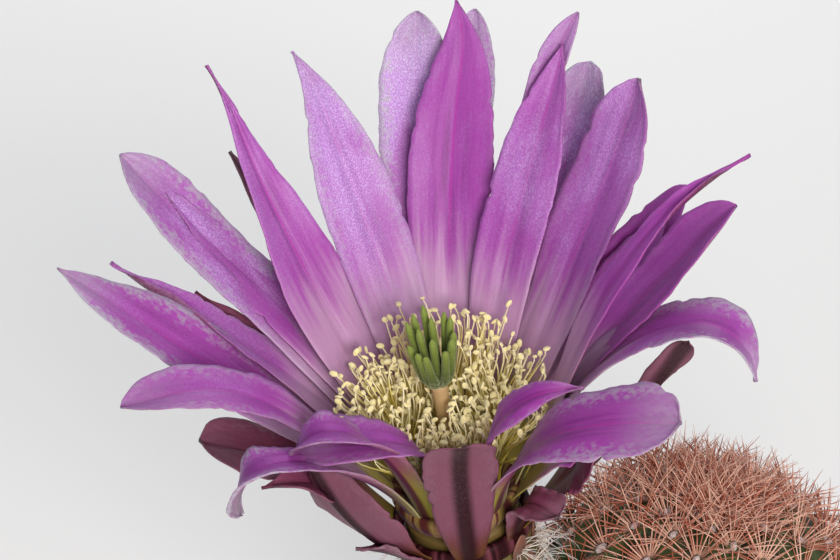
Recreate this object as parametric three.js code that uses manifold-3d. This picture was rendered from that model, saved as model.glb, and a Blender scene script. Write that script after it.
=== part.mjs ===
// Hedgehog cactus: a short ribbed stem, cut flat at its foot, with one open flower on its shoulder.
// Millimetres, +Z up. The origin is the middle of the cut foot; the flower grows towards -X.
import * as THREE from "three";
import { mergeVertices } from "three/addons/utils/BufferGeometryUtils.js";
import Module from "manifold-3d";

const wasm = await Module();
wasm.setup();

// ---------------------------------------------------------------- driving dimensions

const clearance = 0.3; // between pieces that touch
const sliver = 0.02; // edges shorter than this, left by a join, are closed up

const stem = {
  height: 60.5,
  footRadius: 16.5,
  radius: 21,
  swellHeight: 25, // where the full radius is reached
  domeHeight: 15,
  dimple: 1.2, // depth of the woolly hollow at the growing tip
  ribs: 16,
  ribDepth: 2.4,
  bendStart: 20, // the axis is upright below, and bends towards +X above
  bendRadius: 188,
};

const areoles = {
  spacing: 7.9,
  first: 7, // height of the lowest row
  crownRadius: 6, // the rows end this far from the growing tip
  cushionRadius: 0.85,
  cushionHeight: 0.9,
  cushionSink: 1.1,
  spine: 5.8,
  crownSpine: 6.6,
  spread: 22, // degrees that a radial spine rises from the skin
  crownSpread: 44,
};

const bloom = {
  centre: new THREE.Vector3(-30, -9.25, 65.8), // middle of the tube's mouth
  lean: 13.2, // degrees from upright
  bearing: 232, // degrees round +Z, towards which it leans
};

const tube = {
  mouthRadius: 7.1,
  shoulderRadius: 8.6,
  shoulderDrop: 4, // the shoulder lies this far below the mouth
  shoulderBevel: 0.4,
  rootRadius: 7,
  root: new THREE.Vector3(-9, -2.5, 35), // where its axis starts, inside the stem
  straight: 16, // length that runs along the bloom's axis
  socketRadius: 1.4,
  socketDepth: 3,
  scaleRows: 4,
  scalesPerRow: 5,
  bristle: 4.2,
};

const innerRing = { inside: 5.3, outside: 7.3, flare: 0.8, height: 2.6, step: 0.45 };
const outerRing = { inside: 7.4, outside: 8.7, low: -3.7, high: -0.6 };
const bladeThickness = 0.7;
const hookStart = 0.86; // share of a tepal's length from which its tip may bend sideways

const stamens = {
  ringInside: 3.2,
  ringOutside: 4.9,
  funnelRadius: 6,
  funnelHeight: 8,
  wall: 0.9,
  count: 32,
  filament: 0.36, // radius
  antherRadius: 0.62,
  antherLength: 1.6,
  innermost: 3.4, // distances of the anthers from the axis
  frontReach: 7.6,
  backReach: 13.5,
  height: 16.6, // of the innermost anthers above the mouth
  outerRise: 0.8, // the outermost stand this much higher, `backRise` more at the back and less in front
  backRise: 3.4,
};

const pistil = {
  styleRadius: 1.1,
  styleTop: 20.3,
  stigmaRadius: 2.2,
  stigmaTop: 28.3,
  stigmaTilt: 1.6, // the back lobes end this much higher than the middle ones
  lobes: 12,
  lobeRadius: 0.68,
};

const colours = {
  stem: 0x8a5648,
  tube: 0x6f7a4a,
  outerTepals: 0x9c6270,
  innerTepals: 0xb277b0,
  stamens: 0xe2d08c,
  style: 0xd9b99a,
  stigma: 0x62803a,
};

// Outlines of a tepal: where it is widest, along its length, and how it closes to its tip
const tips = {
  pointed: { widest: 0.6, blunt: 1.7, close: 1.1 },
  tapered: { widest: 0.45, blunt: 1.4, close: 1.4 },
  rounded: { widest: 0.74, blunt: 3, close: 0.7 },
  square: { widest: 0.8, blunt: 4, close: 0.5 },
  hooded: { widest: 0.6, blunt: 2.4, close: 1 },
};

// Each tepal starts at azimuth `from` round the bloom's axis and ends at azimuth `at`, `reach` out from the
// axis and `rise` above the mouth. It leaves its ring `leave` degrees from the axis and arrives `arrive`
// degrees from it. `layer` counts from the innermost. `twist` turns the blade about its midrib by its tip;
// `late` and `sway` above 1 bring the twist and the swing from `from` to `at` nearer the tip. `hook` pulls
// the tip sideways and `wave` is how far the margins wave, in millimetres.
const innerTepals = [
  { at: 78.5, from: 86.5, reach: 40, rise: 47.5, leave: 24, arrive: 38, width: 11, tip: "hooded", layer: 0,
    hook: 1.8 },
  { at: 88.5, from: 95, reach: 41, rise: 46, leave: 24, arrive: 34, width: 10, tip: "rounded", layer: 2 },
  { at: 79, from: 84, reach: 43, rise: 44.5, leave: 24, arrive: 38, width: 7.5, tip: "rounded", layer: 1 },
  { at: 111.5, from: 108.5, reach: 36, rise: 47.5, leave: 24, arrive: 32, width: 10, tip: "pointed",
    layer: 0, hook: 1 },
  { at: 128.8, from: 136, reach: 36, rise: 50.5, leave: 27, arrive: 32, width: 10, tip: "tapered", layer: 1,
    fold: 30, sway: 3, hook: 1.8 },
  { at: 145.6, from: 145, reach: 44, rise: 41, leave: 26, arrive: 42, width: 9, tip: "rounded", layer: 2 },
  { at: 144, from: 142, reach: 40, rise: 37, leave: 28, arrive: 42, width: 7.5, tip: "pointed", layer: 0,
    fold: 15 },
  { at: 156, from: 157, reach: 43, rise: 30.3, leave: 32, arrive: 58, width: 6.5, tip: "pointed", layer: 1,
    fold: 60, twist: 35, hook: -1.5 },
  { at: 168.4, from: 168, reach: 44.5, rise: 36.8, leave: 35, arrive: 44, width: 11, tip: "hooded",
    layer: 2, rootPull: 16 },
  { at: 190.6, from: 188, reach: 37.5, rise: 26.3, leave: 36, arrive: 105, width: 8.4, tip: "rounded",
    layer: 0, rootPull: 18, hook: -1.2 },
  { at: 207, from: 222, reach: 28, rise: 13.7, leave: 8, arrive: 182, width: 8.6, tip: "rounded", layer: 2,
    rootPull: 15, tipPull: 17 },
  { at: 202, from: 238, reach: 19.6, rise: 16, leave: 8, arrive: 172, width: 8.7, tip: "hooded", layer: 1,
    rootPull: 20, tipPull: 14, twist: -50 },
  { at: 203, from: 276, reach: 18.7, rise: 19.1, leave: 0, arrive: 100, width: 9.2, tip: "square", layer: 0,
    rootPull: 15, tipPull: 11, fold: 10, twist: -90, late: 0.5, sway: 1.2, wave: 0 },
  { at: 324, from: 276, reach: 22, rise: 27.5, leave: 5, arrive: 90, width: 6, tip: "pointed", layer: 0,
    rootPull: 9, tipPull: 11, fold: 0, twist: 95, late: 0.5, sway: 0.7 },
  { at: 325, from: 306, reach: 34.8, rise: 27, leave: 14, arrive: 79, width: 10.6, tip: "square", layer: 2,
    rootPull: 16, fold: 10, twist: 45, late: 0.6, sway: 1 },
  { at: 345, from: 344, reach: 24.5, rise: 20, leave: 40, arrive: 40, width: 12, tip: "rounded", layer: 0 },
  { at: 344, from: 360, reach: 39.5, rise: 24, leave: 19, arrive: 169, width: 10, tip: "hooded", layer: 1,
    rootPull: 24, tipPull: 15, twist: -38, sway: 1 },
  { at: 5.3, from: 6, reach: 37.5, rise: 39, leave: 28, arrive: 45, width: 10, tip: "rounded", layer: 0 },
  { at: 14, from: 1, reach: 41, rise: 41.5, leave: 24, arrive: 96, width: 7, tip: "tapered", layer: 2,
    twist: 10, sway: 3 },
  { at: 26, from: 26, reach: 35.5, rise: 33.5, leave: 26, arrive: 45, width: 8.5, tip: "rounded",
    layer: 1,  },
  { at: 23, from: 22, reach: 31.5, rise: 32, leave: 26, arrive: 40, width: 7, tip: "rounded", layer: 0 },
  { at: 40.5, from: 37, reach: 36.5, rise: 44, leave: 22, arrive: 34, width: 11.5, tip: "rounded", layer: 1,
    sway: 2 },
  { at: 57, from: 56, reach: 40, rise: 40.5, leave: 22, arrive: 34, width: 8, tip: "square", layer: 2 },
  { at: 55.2, from: 63.2, reach: 34, rise: 47, leave: 22, arrive: 30, width: 9, tip: "hooded", layer: 0,
    hook: 0.6 },
  { at: 57, from: 64, reach: 37.3, rise: 50, leave: 22, arrive: 34, width: 5, tip: "rounded", layer: 2,
    hook: -1 },
];

const outerTepals = [
  { at: 131.8, from: 129, reach: 35, rise: 38.5, leave: 24, arrive: 40, width: 4.8, tip: "hooded" },
  { at: 150, from: 150, reach: 34, rise: 24.7, leave: 34, arrive: 50, width: 6, tip: "pointed" },
  { at: 180, from: 178, reach: 30, rise: 15, leave: 38, arrive: 60, width: 10, tip: "square" },
  { at: 198, from: 196, reach: 23.5, rise: 13, leave: 38, arrive: 75, width: 8, tip: "pointed",
    rootPull: 12, tipPull: 11 },
  { at: 200, from: 228, reach: 17.5, rise: 16, leave: 55, arrive: 10, width: 14, tip: "pointed",
    rootPull: 6, tipPull: 8, twist: 25, late: 0.5, sway: 1 },
  { at: 213, from: 238, reach: 15, rise: 2.5, leave: 60, arrive: 75, width: 6, tip: "pointed",
    rootPull: 4, tipPull: 5 },
  { at: 281, from: 276, reach: 15.2, rise: 22.2, leave: 34, arrive: 38, width: 9.2, tip: "square",
    rootPull: 6, tipPull: 8, fold: -8 },
  { at: 320, from: 320, reach: 16.4, rise: 5.8, leave: 22, arrive: 106, width: 6.4, tip: "square",
    rootPull: 6, tipPull: 7 },
  { at: 341, from: 346, reach: 21, rise: 19, leave: 38, arrive: 32, width: 12, tip: "rounded",
    twist: 40 },
  { at: 347, from: 347, reach: 31.2, rise: 28.2, leave: 43, arrive: 34, width: 4.4, tip: "square",
    twist: -90, late: 3 },
  { at: 35, from: 35, reach: 27, rise: 20, leave: 32, arrive: 55, width: 9, tip: "pointed" },
  { at: 78, from: 78, reach: 28, rise: 17, leave: 34, arrive: 60, width: 9, tip: "rounded" },
  { at: 105, from: 105, reach: 30, rise: 26, leave: 30, arrive: 50, width: 8, tip: "pointed" },
];

// ---------------------------------------------------------------- numbers and vectors

const radians = THREE.MathUtils.degToRad;
const { lerp, clamp, smoothstep } = THREE.MathUtils;
const vector = (x, y, z) => new THREE.Vector3(x, y, z);

// The same stream of numbers between 0 and 1 each time, for the small irregularities of growth
function growth(seed) {
  let state = seed;
  return () => {
    state = (state * 1664525 + 1013904223) % 4294967296;
    return state / 4294967296;
  };
}

const times = (count, make) => Array.from({ length: count }, (_, i) => make(i));

// ---------------------------------------------------------------- solids

function meshGeometry(points, faces) {
  const geometry = new THREE.BufferGeometry();
  const numbers = points.flatMap((p) => [p.x, p.y, p.z]);
  geometry.setAttribute("position", new THREE.Float32BufferAttribute(numbers, 3));
  geometry.setIndex(faces.flat());
  return geometry;
}

function solidOf(geometry) {
  const bare = geometry.clone();
  bare.deleteAttribute("normal");
  bare.deleteAttribute("uv");
  const merged = mergeVertices(bare, 1e-5);
  return new wasm.Manifold(new wasm.Mesh({
    numProp: 3,
    vertProperties: Float32Array.from(merged.attributes.position.array),
    triVerts: Uint32Array.from(merged.index.array),
  }));
}

// One body: the outer skin of the largest piece, without loose scraps, sealed hollows or slivers
function largestBody(solid) {
  const body = solid.decompose().reduce((best, part) => (part.volume() > best.volume() ? part : best));
  return body.asOriginal().simplify(sliver);
}

const fused = (solids) => largestBody(wasm.Manifold.union(solids));

function geometryOf(solid) {
  const { vertProperties, triVerts, numProp } = solid.getMesh();
  const geometry = new THREE.BufferGeometry();
  geometry.setAttribute("position", new THREE.BufferAttribute(vertProperties, numProp));
  geometry.setIndex(new THREE.BufferAttribute(triVerts, 1));
  return geometry;
}

// A closed skin over rings of equally many points, each end shut by a fan to its own middle point
function loft(rings, start, end) {
  const count = rings[0].length;
  const points = [...rings.flat(), start, end];
  const faces = [];
  const last = (rings.length - 1) * count;
  times(count, (k) => {
    const next = (k + 1) % count;
    for (let base = 0; base < last; base += count) {
      const [a, b, c, d] = [base + k, base + next, base + count + next, base + count + k];
      faces.push([a, b, c], [a, c, d]);
    }
    faces.push([points.length - 2, next, k], [points.length - 1, last + k, last + next]);
  });
  return meshGeometry(points, faces);
}

// A round limb along a path, with a radius at each of its points
function limb(path, radii, sides) {
  const tangent = (i) => {
    const [before, after] = [path[Math.max(i - 1, 0)], path[Math.min(i + 1, path.length - 1)]];
    return after.clone().sub(before).normalize();
  };
  let across = tangent(0).cross(Math.abs(tangent(0).x) < 0.9 ? vector(1, 0, 0) : vector(0, 1, 0)).normalize();
  const rings = path.map((middle, i) => {
    const along = tangent(i);
    across = across.clone().addScaledVector(along, -across.dot(along)).normalize();
    const beside = along.clone().cross(across);
    return times(sides, (k) => {
      const angle = (2 * Math.PI * k) / sides;
      return middle.clone()
        .addScaledVector(across, radii[i] * Math.cos(angle))
        .addScaledVector(beside, radii[i] * Math.sin(angle));
    });
  });
  return loft(rings, path[0], path[path.length - 1]);
}

// ---------------------------------------------------------------- the bloom's own frame

const bloomAxis = vector(0, 0, 1)
  .applyAxisAngle(vector(0, 1, 0), radians(bloom.lean))
  .applyAxisAngle(vector(0, 0, 1), radians(bloom.bearing));
const bloomRight = vector(1, 0, 0).addScaledVector(bloomAxis, -bloomAxis.x).normalize();
const bloomBack = bloomAxis.clone().cross(bloomRight);

// A point `out` from the bloom's axis at an azimuth in radians, `up` above the mouth
function bloomPoint(out, azimuth, up) {
  return bloom.centre.clone()
    .addScaledVector(bloomRight, out * Math.cos(azimuth))
    .addScaledVector(bloomBack, out * Math.sin(azimuth))
    .addScaledVector(bloomAxis, up);
}

// The middle line of the flower's tube, out of the stem and up to its shoulder
const tubeCurve = new THREE.QuadraticBezierCurve3(
  tube.root,
  bloomPoint(0, 0, -tube.straight - tube.shoulderDrop),
  bloomPoint(0, 0, -tube.shoulderDrop - tube.shoulderBevel),
);
const tubeAxis = tubeCurve.getPoints(10);

// A ring or plug turned round the bloom's axis from a closed outline of [radius, height] pairs
function turned(outline, sides) {
  const closed = [...outline, outline[0]].map(([radius, height]) => new THREE.Vector2(radius, height));
  const place = new THREE.Matrix4()
    .makeBasis(bloomRight, bloomAxis, bloomBack.clone().negate())
    .setPosition(bloom.centre);
  return new THREE.LatheGeometry(closed, sides).applyMatrix4(place);
}

// ---------------------------------------------------------------- stem

const domeStart = stem.height - stem.domeHeight;

// Radius of the stem over its ribs
function stemRadius(height) {
  if (height < stem.swellHeight) {
    return lerp(stem.footRadius, stem.radius, Math.sin((Math.PI * height) / (2 * stem.swellHeight)));
  }
  const up = clamp((height - domeStart) / stem.domeHeight, 0, 1);
  return stem.radius * Math.sqrt(1 - up * up);
}

// A point of the skin, with rib crests at whole shares of a turn, standing `proud` of it
function stemPoint(angle, height, proud = 0) {
  const above = Math.max(height - stem.bendStart, 0);
  const lean = above / stem.bendRadius;
  const fade = smoothstep(stem.height - height, 0.5, 12);
  const furrow = (stem.ribDepth * fade * (1 - Math.cos(stem.ribs * angle))) / 2;
  const radius = Math.max(stemRadius(height) - furrow + proud, 0);
  return vector(
    above ** 2 / (2 * stem.bendRadius) + radius * Math.cos(angle) * Math.cos(lean),
    radius * Math.sin(angle),
    height - radius * Math.cos(angle) * Math.sin(lean),
  );
}

function stemBody(proud = 0) {
  const flank = times(6, (i) => (domeStart * i) / 6);
  const dome = times(6, (i) => domeStart + stem.domeHeight * Math.sin((Math.PI * i) / 12));
  const columns = 4 * stem.ribs;
  const rings = [...flank, ...dome].map((height) =>
    times(columns, (k) => stemPoint((2 * Math.PI * k) / columns, height, proud)));
  return solidOf(loft(rings, vector(0, 0, 0), stemPoint(0, stem.height - stem.dimple)));
}

// Axes of the skin at a point: out of it, up along its rib, and across
function skinAxes(angle, height) {
  const nudge = 1e-3;
  const turnedWay = stemPoint(angle + nudge, height).sub(stemPoint(angle - nudge, height));
  const up = stemPoint(angle, height + nudge).sub(stemPoint(angle, height - nudge)).normalize();
  const out = turnedWay.cross(up).normalize();
  return { out, up, across: up.clone().cross(out) };
}

// An areole: a small woolly cushion sunk in the skin, with two spines on each side and one on its top.
// A spine whose tip `mayGrow` refuses is left out.
function areole(middle, axes, { sides, spine, spread, turn, mayGrow, random }) {
  const ringPoint = (radius, lift, k) => {
    const angle = turn + (2 * Math.PI * k) / sides;
    return middle.clone()
      .addScaledVector(axes.up, radius * Math.cos(angle))
      .addScaledVector(axes.across, -radius * Math.sin(angle))
      .addScaledVector(axes.out, lift);
  };
  const root = times(sides, (k) => ringPoint(0.8 * areoles.cushionRadius, -areoles.cushionSink, k));
  const brim = times(sides, (k) => ringPoint(areoles.cushionRadius, 0.25 * areoles.cushionHeight, k));
  const crown = times(sides, (k) => ringPoint(0.45 * areoles.cushionRadius, areoles.cushionHeight, k));
  const points = [...root, ...brim, ...crown];
  const faces = [];

  // A spine over one face of the cushion, pointing away from the cushion's middle
  const raise = (corners, lift) => {
    const foot = corners.reduce((sum, i) => sum.add(points[i]), vector(0, 0, 0)).divideScalar(corners.length);
    const away = foot.clone().sub(middle);
    away.addScaledVector(axes.out, -away.dot(axes.out)).normalize();
    const rise = radians(lift + 14 * (random() - 0.5));
    const way = away.multiplyScalar(Math.cos(rise)).addScaledVector(axes.out, Math.sin(rise));
    const tip = foot.addScaledVector(way, spine * (0.86 + 0.28 * random()));
    if (!mayGrow(tip)) {
      for (let i = 2; i < corners.length; i += 1) faces.push([corners[0], corners[i - 1], corners[i]]);
      return;
    }
    const last = points.push(tip) - 1;
    corners.forEach((corner, i) => faces.push([corner, corners[(i + 1) % corners.length], last]));
  };

  for (let k = 0; k < sides; k += 1) {
    const next = (k + 1) % sides;
    if (k > 1) faces.push([0, k, k - 1]);
    faces.push([k, next, sides + next], [k, sides + next, sides + k]);
    raise([sides + k, sides + next, 2 * sides + next], spread);
    raise([sides + k, 2 * sides + next, 2 * sides + k], spread + 9);
  }
  raise(times(sides, (k) => 2 * sides + k), 78);
  return solidOf(meshGeometry(points, faces));
}

// Room that the flower's tube and lowest tepals take, which spines grow round
function clearOfBloom(point) {
  const offset = point.clone().sub(bloom.centre);
  const up = offset.dot(bloomAxis);
  const out = offset.addScaledVector(bloomAxis, -up).length();
  const flare = up > 0 ? 10.5 + 1.2 * up : 10.5;
  return !(up > -tube.straight && out < flare) && tubeAxis.every((middle) => middle.distanceTo(point) > 9);
}

function makeStem() {
  const random = growth(7);
  const mayGrow = (tip) => tip.z > 0.5 && clearOfBloom(tip);
  const tufts = [];
  for (let rib = 0; rib < stem.ribs; rib += 1) {
    const angle = (2 * Math.PI * rib) / stem.ribs;
    let height = areoles.first + (rib % 2) * 0.5 * areoles.spacing;
    while (height < stem.height && stemRadius(height) > areoles.crownRadius) {
      const middle = stemPoint(angle, height);
      const axes = skinAxes(angle, height);
      const toCrown = smoothstep(height, domeStart, stem.height);
      const settings = {
        sides: 4,
        spine: lerp(areoles.spine, areoles.crownSpine, toCrown),
        spread: lerp(areoles.spread, areoles.crownSpread, toCrown),
        turn: (rib % 2) * (Math.PI / 4) + 0.3 * (random() - 0.5),
        mayGrow,
        random,
      };
      if (clearOfBloom(middle)) tufts.push(areole(middle, axes, settings));
      height += areoles.spacing * Math.max(axes.up.z, 0.25);
    }
  }
  const crownTufts = 6;
  for (let k = 0; k < crownTufts; k += 1) {
    const angle = (2 * Math.PI * k) / (crownTufts - 1);
    const height = stem.height - (k < crownTufts - 1 ? 0.35 : 0.02);
    const axes = skinAxes(angle, height);
    const middle = stemPoint(angle, height).addScaledVector(axes.out, -0.3);
    tufts.push(areole(middle, axes, {
      sides: 4, spine: areoles.crownSpine, spread: areoles.crownSpread, turn: random(), mayGrow, random,
    }));
  }
  return fused([stemBody(), ...tufts]);
}

// ---------------------------------------------------------------- floral tube

const tubeRadius = (along) => lerp(tube.rootRadius, tube.shoulderRadius, along ** 2);

// Distance of a point from the middle of the stem, at its own height
function fromStemAxis(point) {
  const bend = Math.max(point.z - stem.bendStart, 0) ** 2 / (2 * stem.bendRadius);
  return Math.hypot(point.x - bend, point.y);
}

// Small areoles in rings round the tube, on the sides that the stem leaves open
function tubeScales() {
  const random = growth(11);
  const belowCollar = (point) => point.clone().sub(bloom.centre).dot(bloomAxis) < outerRing.low - 0.6;
  const mayGrow = (tip) => fromStemAxis(tip) > stem.radius + 8 && belowCollar(tip);
  const scales = times(tube.scaleRows * tube.scalesPerRow, (i) => {
    const row = Math.floor(i / tube.scalesPerRow);
    const along = 0.94 - 0.13 * row;
    const up = tubeCurve.getTangent(along);
    const angle = (2 * Math.PI * (i + 0.5 * row)) / tube.scalesPerRow;
    const right = bloomRight.clone().addScaledVector(up, -bloomRight.dot(up)).normalize();
    const out = right.applyAxisAngle(up, angle);
    const foot = tubeCurve.getPoint(along).addScaledVector(out, tubeRadius(along) - 0.1);
    const axes = { out, up, across: up.clone().cross(out) };
    const settings = { sides: 3, spine: tube.bristle, spread: 30, turn: random(), mayGrow, random };
    return fromStemAxis(foot) > stem.radius + 3 ? areole(foot, axes, settings) : null;
  });
  return scales.filter((scale) => scale);
}

function makeTube() {
  const path = [...tubeAxis, bloomPoint(0, 0, -tube.shoulderDrop), bloomPoint(0, 0, 0)];
  const shoulder = tubeAxis.length - 1;
  const radii = path.map((_, i) => (i > shoulder ? tube.mouthRadius : tubeRadius(i / shoulder)));
  const socket = solidOf(turned([
    [0, -tube.socketDepth], [tube.socketRadius, -tube.socketDepth], [tube.socketRadius, 1], [0, 1],
  ], 12));
  const whole = wasm.Manifold.union([solidOf(limb(path, radii, 16)), ...tubeScales()]);
  return largestBody(whole.subtract(socket).subtract(stemBody(clearance)));
}

// ---------------------------------------------------------------- tepals

// Half width along a tepal as a share of its greatest: a narrow claw, a broad blade and a closing tip
function outlineShare(along, tip, claw) {
  const { widest, blunt, close } = tips[tip];
  if (along < widest) return lerp(claw, 1, Math.sin((Math.PI * along) / (2 * widest)) ** 1.3);
  return (1 - ((along - widest) / (1 - widest)) ** blunt) ** close;
}

// A tepal's blade as a grid of points on its middle surface, with the blade's normal at each. `room` widens
// and lengthens it, for what has to keep clear of it.
function tepalGrid(row, root, steps, cells, room = 0) {
  const { rootPull = 22.5, tipPull = 18, fold = 20 } = row;
  const { twist = 0, late = 1.2, sway = 1.5, hook = 0, wave = 0.5 } = row;
  const way = (angle) => new THREE.Vector2(Math.sin(radians(angle)), Math.cos(radians(angle)));
  const tipEnd = new THREE.Vector2(row.reach, row.rise).addScaledVector(way(row.arrive), room);
  const midrib = new THREE.CubicBezierCurve(
    root,
    root.clone().addScaledVector(way(row.leave), rootPull),
    tipEnd.clone().addScaledVector(way(row.arrive), -tipPull),
    tipEnd,
  );
  const midribPoint = (along) => {
    const { x: out, y: up } = midrib.getPoint(along);
    return { out, place: bloomPoint(out, radians(lerp(row.from, row.at, along ** sway)), up) };
  };

  // The blade's sideways direction is carried along the midrib in short steps, and twisted only by `twist`
  let carried = bloomPoint(1, radians(row.from) + Math.PI / 2, 0).sub(bloom.centre);
  const shortSteps = times(4 * steps + 1, (i) => {
    const along = i / (4 * steps);
    const ahead = midribPoint(Math.min(along + 0.001, 1)).place;
    const tangent = ahead.sub(midribPoint(Math.max(along - 0.001, 0)).place).normalize();
    carried = carried.clone().addScaledVector(tangent, -carried.dot(tangent)).normalize();
    return { along, tangent, carried };
  });
  return shortSteps.filter((_, i) => i % 4 === 0).map(({ along, tangent, carried: untwisted }) => {
    const { out, place } = midribPoint(along);
    const sideways = untwisted.clone().applyAxisAngle(tangent, radians(-twist) * along ** late);
    const inward = tangent.clone().cross(sideways);
    const hooked = hook * clamp((along - hookStart) / (1 - hookStart), 0, 1) ** 2;
    const half = Math.max((row.width / 2) * outlineShare(along, row.tip, 0.36), 0.35) + room;
    const arc = lerp(half / out, radians(fold), smoothstep(along, 0.25, 0.8)) || 1e-3;
    return times(cells + 1, (j) => {
      const across = (2 * j) / cells - 1;
      const waved = wave * across ** 2 * along * Math.sin(2 * Math.PI * (2.4 * along + row.at / 47));
      return {
        point: place.clone()
          .addScaledVector(sideways, hooked + (half * Math.sin(arc * across)) / arc)
          .addScaledVector(inward, (half * (1 - Math.cos(arc * across))) / arc + waved),
        normal: inward.clone().applyAxisAngle(tangent, -arc * across),
      };
    });
  });
}

// A closed blade over such a grid, with both faces split into triangles alike
function blade(grid, thickness) {
  const rows = grid.length;
  const columns = grid[0].length;
  const side = (way) => grid.flat().map(({ point, normal }) =>
    point.clone().addScaledVector(normal, (way * thickness) / 2));
  const points = [...side(1), ...side(-1)];
  const under = rows * columns;
  const faces = [];
  const quad = (a, b, c, d) => faces.push([a, b, c], [a, c, d]);
  for (let i = 0; i < rows - 1; i += 1) {
    for (let j = 0; j < columns - 1; j += 1) {
      const a = i * columns + j;
      const [b, c, d] = [a + 1, a + columns + 1, a + columns];
      faces.push([a, d, c], [a, c, b], [under + a, under + c, under + d], [under + a, under + b, under + c]);
    }
    const [left, leftUp] = [i * columns, (i + 1) * columns];
    const [right, rightUp] = [left + columns - 1, leftUp + columns - 1];
    quad(left, under + left, under + leftUp, leftUp);
    quad(right, rightUp, under + rightUp, under + right);
  }
  for (let j = 0; j < columns - 1; j += 1) {
    const end = (rows - 1) * columns + j;
    quad(j, j + 1, under + j + 1, under + j);
    quad(end, under + end, under + end + 1, end + 1);
  }
  return meshGeometry(points, faces);
}

function innerBlades(room = 0) {
  return innerTepals.map((row) => {
    const root = new THREE.Vector2(innerRing.inside + 0.6 + innerRing.step * row.layer, 1);
    const opened = { ...row, leave: row.leave + 2 * row.layer };
    const cells = row.width > 8 ? 4 : 2;
    return solidOf(blade(tepalGrid(opened, root, 7, cells, room), bladeThickness + 2 * room));
  });
}

// The space of the inner blades and of the gap round them
const aroundInnerBlades = () => wasm.Manifold.union(innerBlades(clearance));

function makeInnerTepals() {
  const { inside, outside, flare, height } = innerRing;
  const ring = solidOf(turned([
    [inside, clearance], [outside, clearance], [outside + flare, height], [inside + flare, height],
  ], 24));
  return fused([ring, ...innerBlades()]);
}

function makeOuterTepals() {
  const { inside, outside, low, high } = outerRing;
  const ring = solidOf(turned([[inside, low], [outside, low], [outside, high], [inside, high]], 24));
  const root = new THREE.Vector2((inside + outside) / 2, low + 1.5);
  const blades = outerTepals.map((row) => solidOf(blade(tepalGrid(row, root, 6, 2), bladeThickness)));
  return largestBody(wasm.Manifold.union([ring, ...blades]).subtract(aroundInnerBlades()));
}

// ---------------------------------------------------------------- stamens, style and stigma

function makeStamens() {
  const random = growth(23);
  const { ringInside, ringOutside, funnelRadius, funnelHeight, wall } = stamens;
  const { filament, antherRadius, antherLength, innermost, frontReach, backReach } = stamens;
  const funnel = solidOf(turned([
    [ringInside, clearance], [ringOutside, clearance], [funnelRadius, funnelHeight],
    [funnelRadius - wall, funnelHeight], [ringOutside - wall, 2.5], [ringInside, 2.5],
  ], 16));
  const filaments = times(stamens.count, (i) => {
    const azimuth = 2 * Math.PI * i * 0.618034;
    const start = 0.45 + 0.5 * random();
    const rootOut = lerp(ringOutside, funnelRadius, start) - wall / 2;
    const rootUp = lerp(clearance, funnelHeight, start);
    const spread = Math.sqrt(random());
    const back = Math.sin(azimuth);
    const reach = lerp(frontReach, backReach, smoothstep(back, -0.75, -0.1));
    const endOut = lerp(innermost, reach, spread);
    const rise = stamens.outerRise + stamens.backRise * back;
    const endUp = stamens.height + rise * spread + 2.6 * (random() - 0.5);
    const end = bloomPoint(endOut, azimuth + 0.2 * (random() - 0.5), endUp);
    const head = bloomPoint(1, azimuth + 6 * random(), 1.2).sub(bloom.centre).normalize();
    const path = [
      bloomPoint(rootOut, azimuth, rootUp),
      bloomPoint(lerp(rootOut, endOut, 0.35), azimuth, lerp(rootUp, endUp, 0.6)),
      end,
      end.clone().addScaledVector(head, antherLength / 2),
      end.clone().addScaledVector(head, antherLength),
    ];
    const radii = [1.4 * filament, filament, 0.9 * filament, antherRadius, 0.5 * antherRadius];
    return solidOf(limb(path, radii, 3));
  });
  return largestBody(wasm.Manifold.union([funnel, ...filaments]).subtract(aroundInnerBlades()));
}

function makeStyle() {
  const { styleRadius, styleTop } = pistil;
  const low = clearance - tube.socketDepth;
  return solidOf(turned([
    [0, low], [styleRadius, low], [styleRadius, styleTop - 3], [1.15 * styleRadius, styleTop], [0, styleTop],
  ], 12));
}

function makeStigma() {
  const { styleTop, stigmaRadius, stigmaTop, stigmaTilt, lobes, lobeRadius } = pistil;
  const foot = styleTop + clearance;
  const brim = foot + 2.8;
  const cup = solidOf(turned([[0, foot], [1.4, foot], [stigmaRadius + 0.3, brim], [0, brim]], 12));
  const fingers = times(lobes, (k) => {
    const inner = k % 3 === 2;
    const azimuth = (2 * Math.PI * k) / lobes;
    const out = inner ? 0.45 * stigmaRadius : stigmaRadius;
    const top = stigmaTop - (inner ? 0 : 0.4) + stigmaTilt * Math.sin(azimuth);
    const path = [
      bloomPoint(out * 0.8, azimuth, foot + 1.6),
      bloomPoint(out, azimuth, foot + 4),
      bloomPoint(out + 0.3, azimuth, top - 0.8),
      bloomPoint(out + 0.35, azimuth, top),
    ];
    return solidOf(limb(path, [0.9, 1.1, 1, 0.5].map((share) => share * lobeRadius), 5));
  });
  return fused([cup, ...fingers]);
}

// ---------------------------------------------------------------- the plant

function piece(name, solid, color, roughness) {
  const material = new THREE.MeshStandardMaterial({ color, roughness, metalness: 0 });
  const mesh = new THREE.Mesh(geometryOf(solid), material);
  mesh.name = name;
  return mesh;
}

const plant = new THREE.Group();
plant.add(
  piece("stem", makeStem(), colours.stem, 0.8),
  piece("floral_tube", makeTube(), colours.tube, 0.8),
  piece("outer_tepals", makeOuterTepals(), colours.outerTepals, 0.6),
  piece("inner_tepals", makeInnerTepals(), colours.innerTepals, 0.5),
  piece("stamens", makeStamens(), colours.stamens, 0.7),
  piece("style", makeStyle(), colours.style, 0.5),
  piece("stigma", makeStigma(), colours.stigma, 0.7),
);

export default plant;
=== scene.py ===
"""Dresses a hedgehog cactus: a ribbed stem under stars of spines, with one open flower on its flank."""
import math
import random

import bpy
import numpy as np
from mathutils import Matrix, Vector, noise


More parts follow.
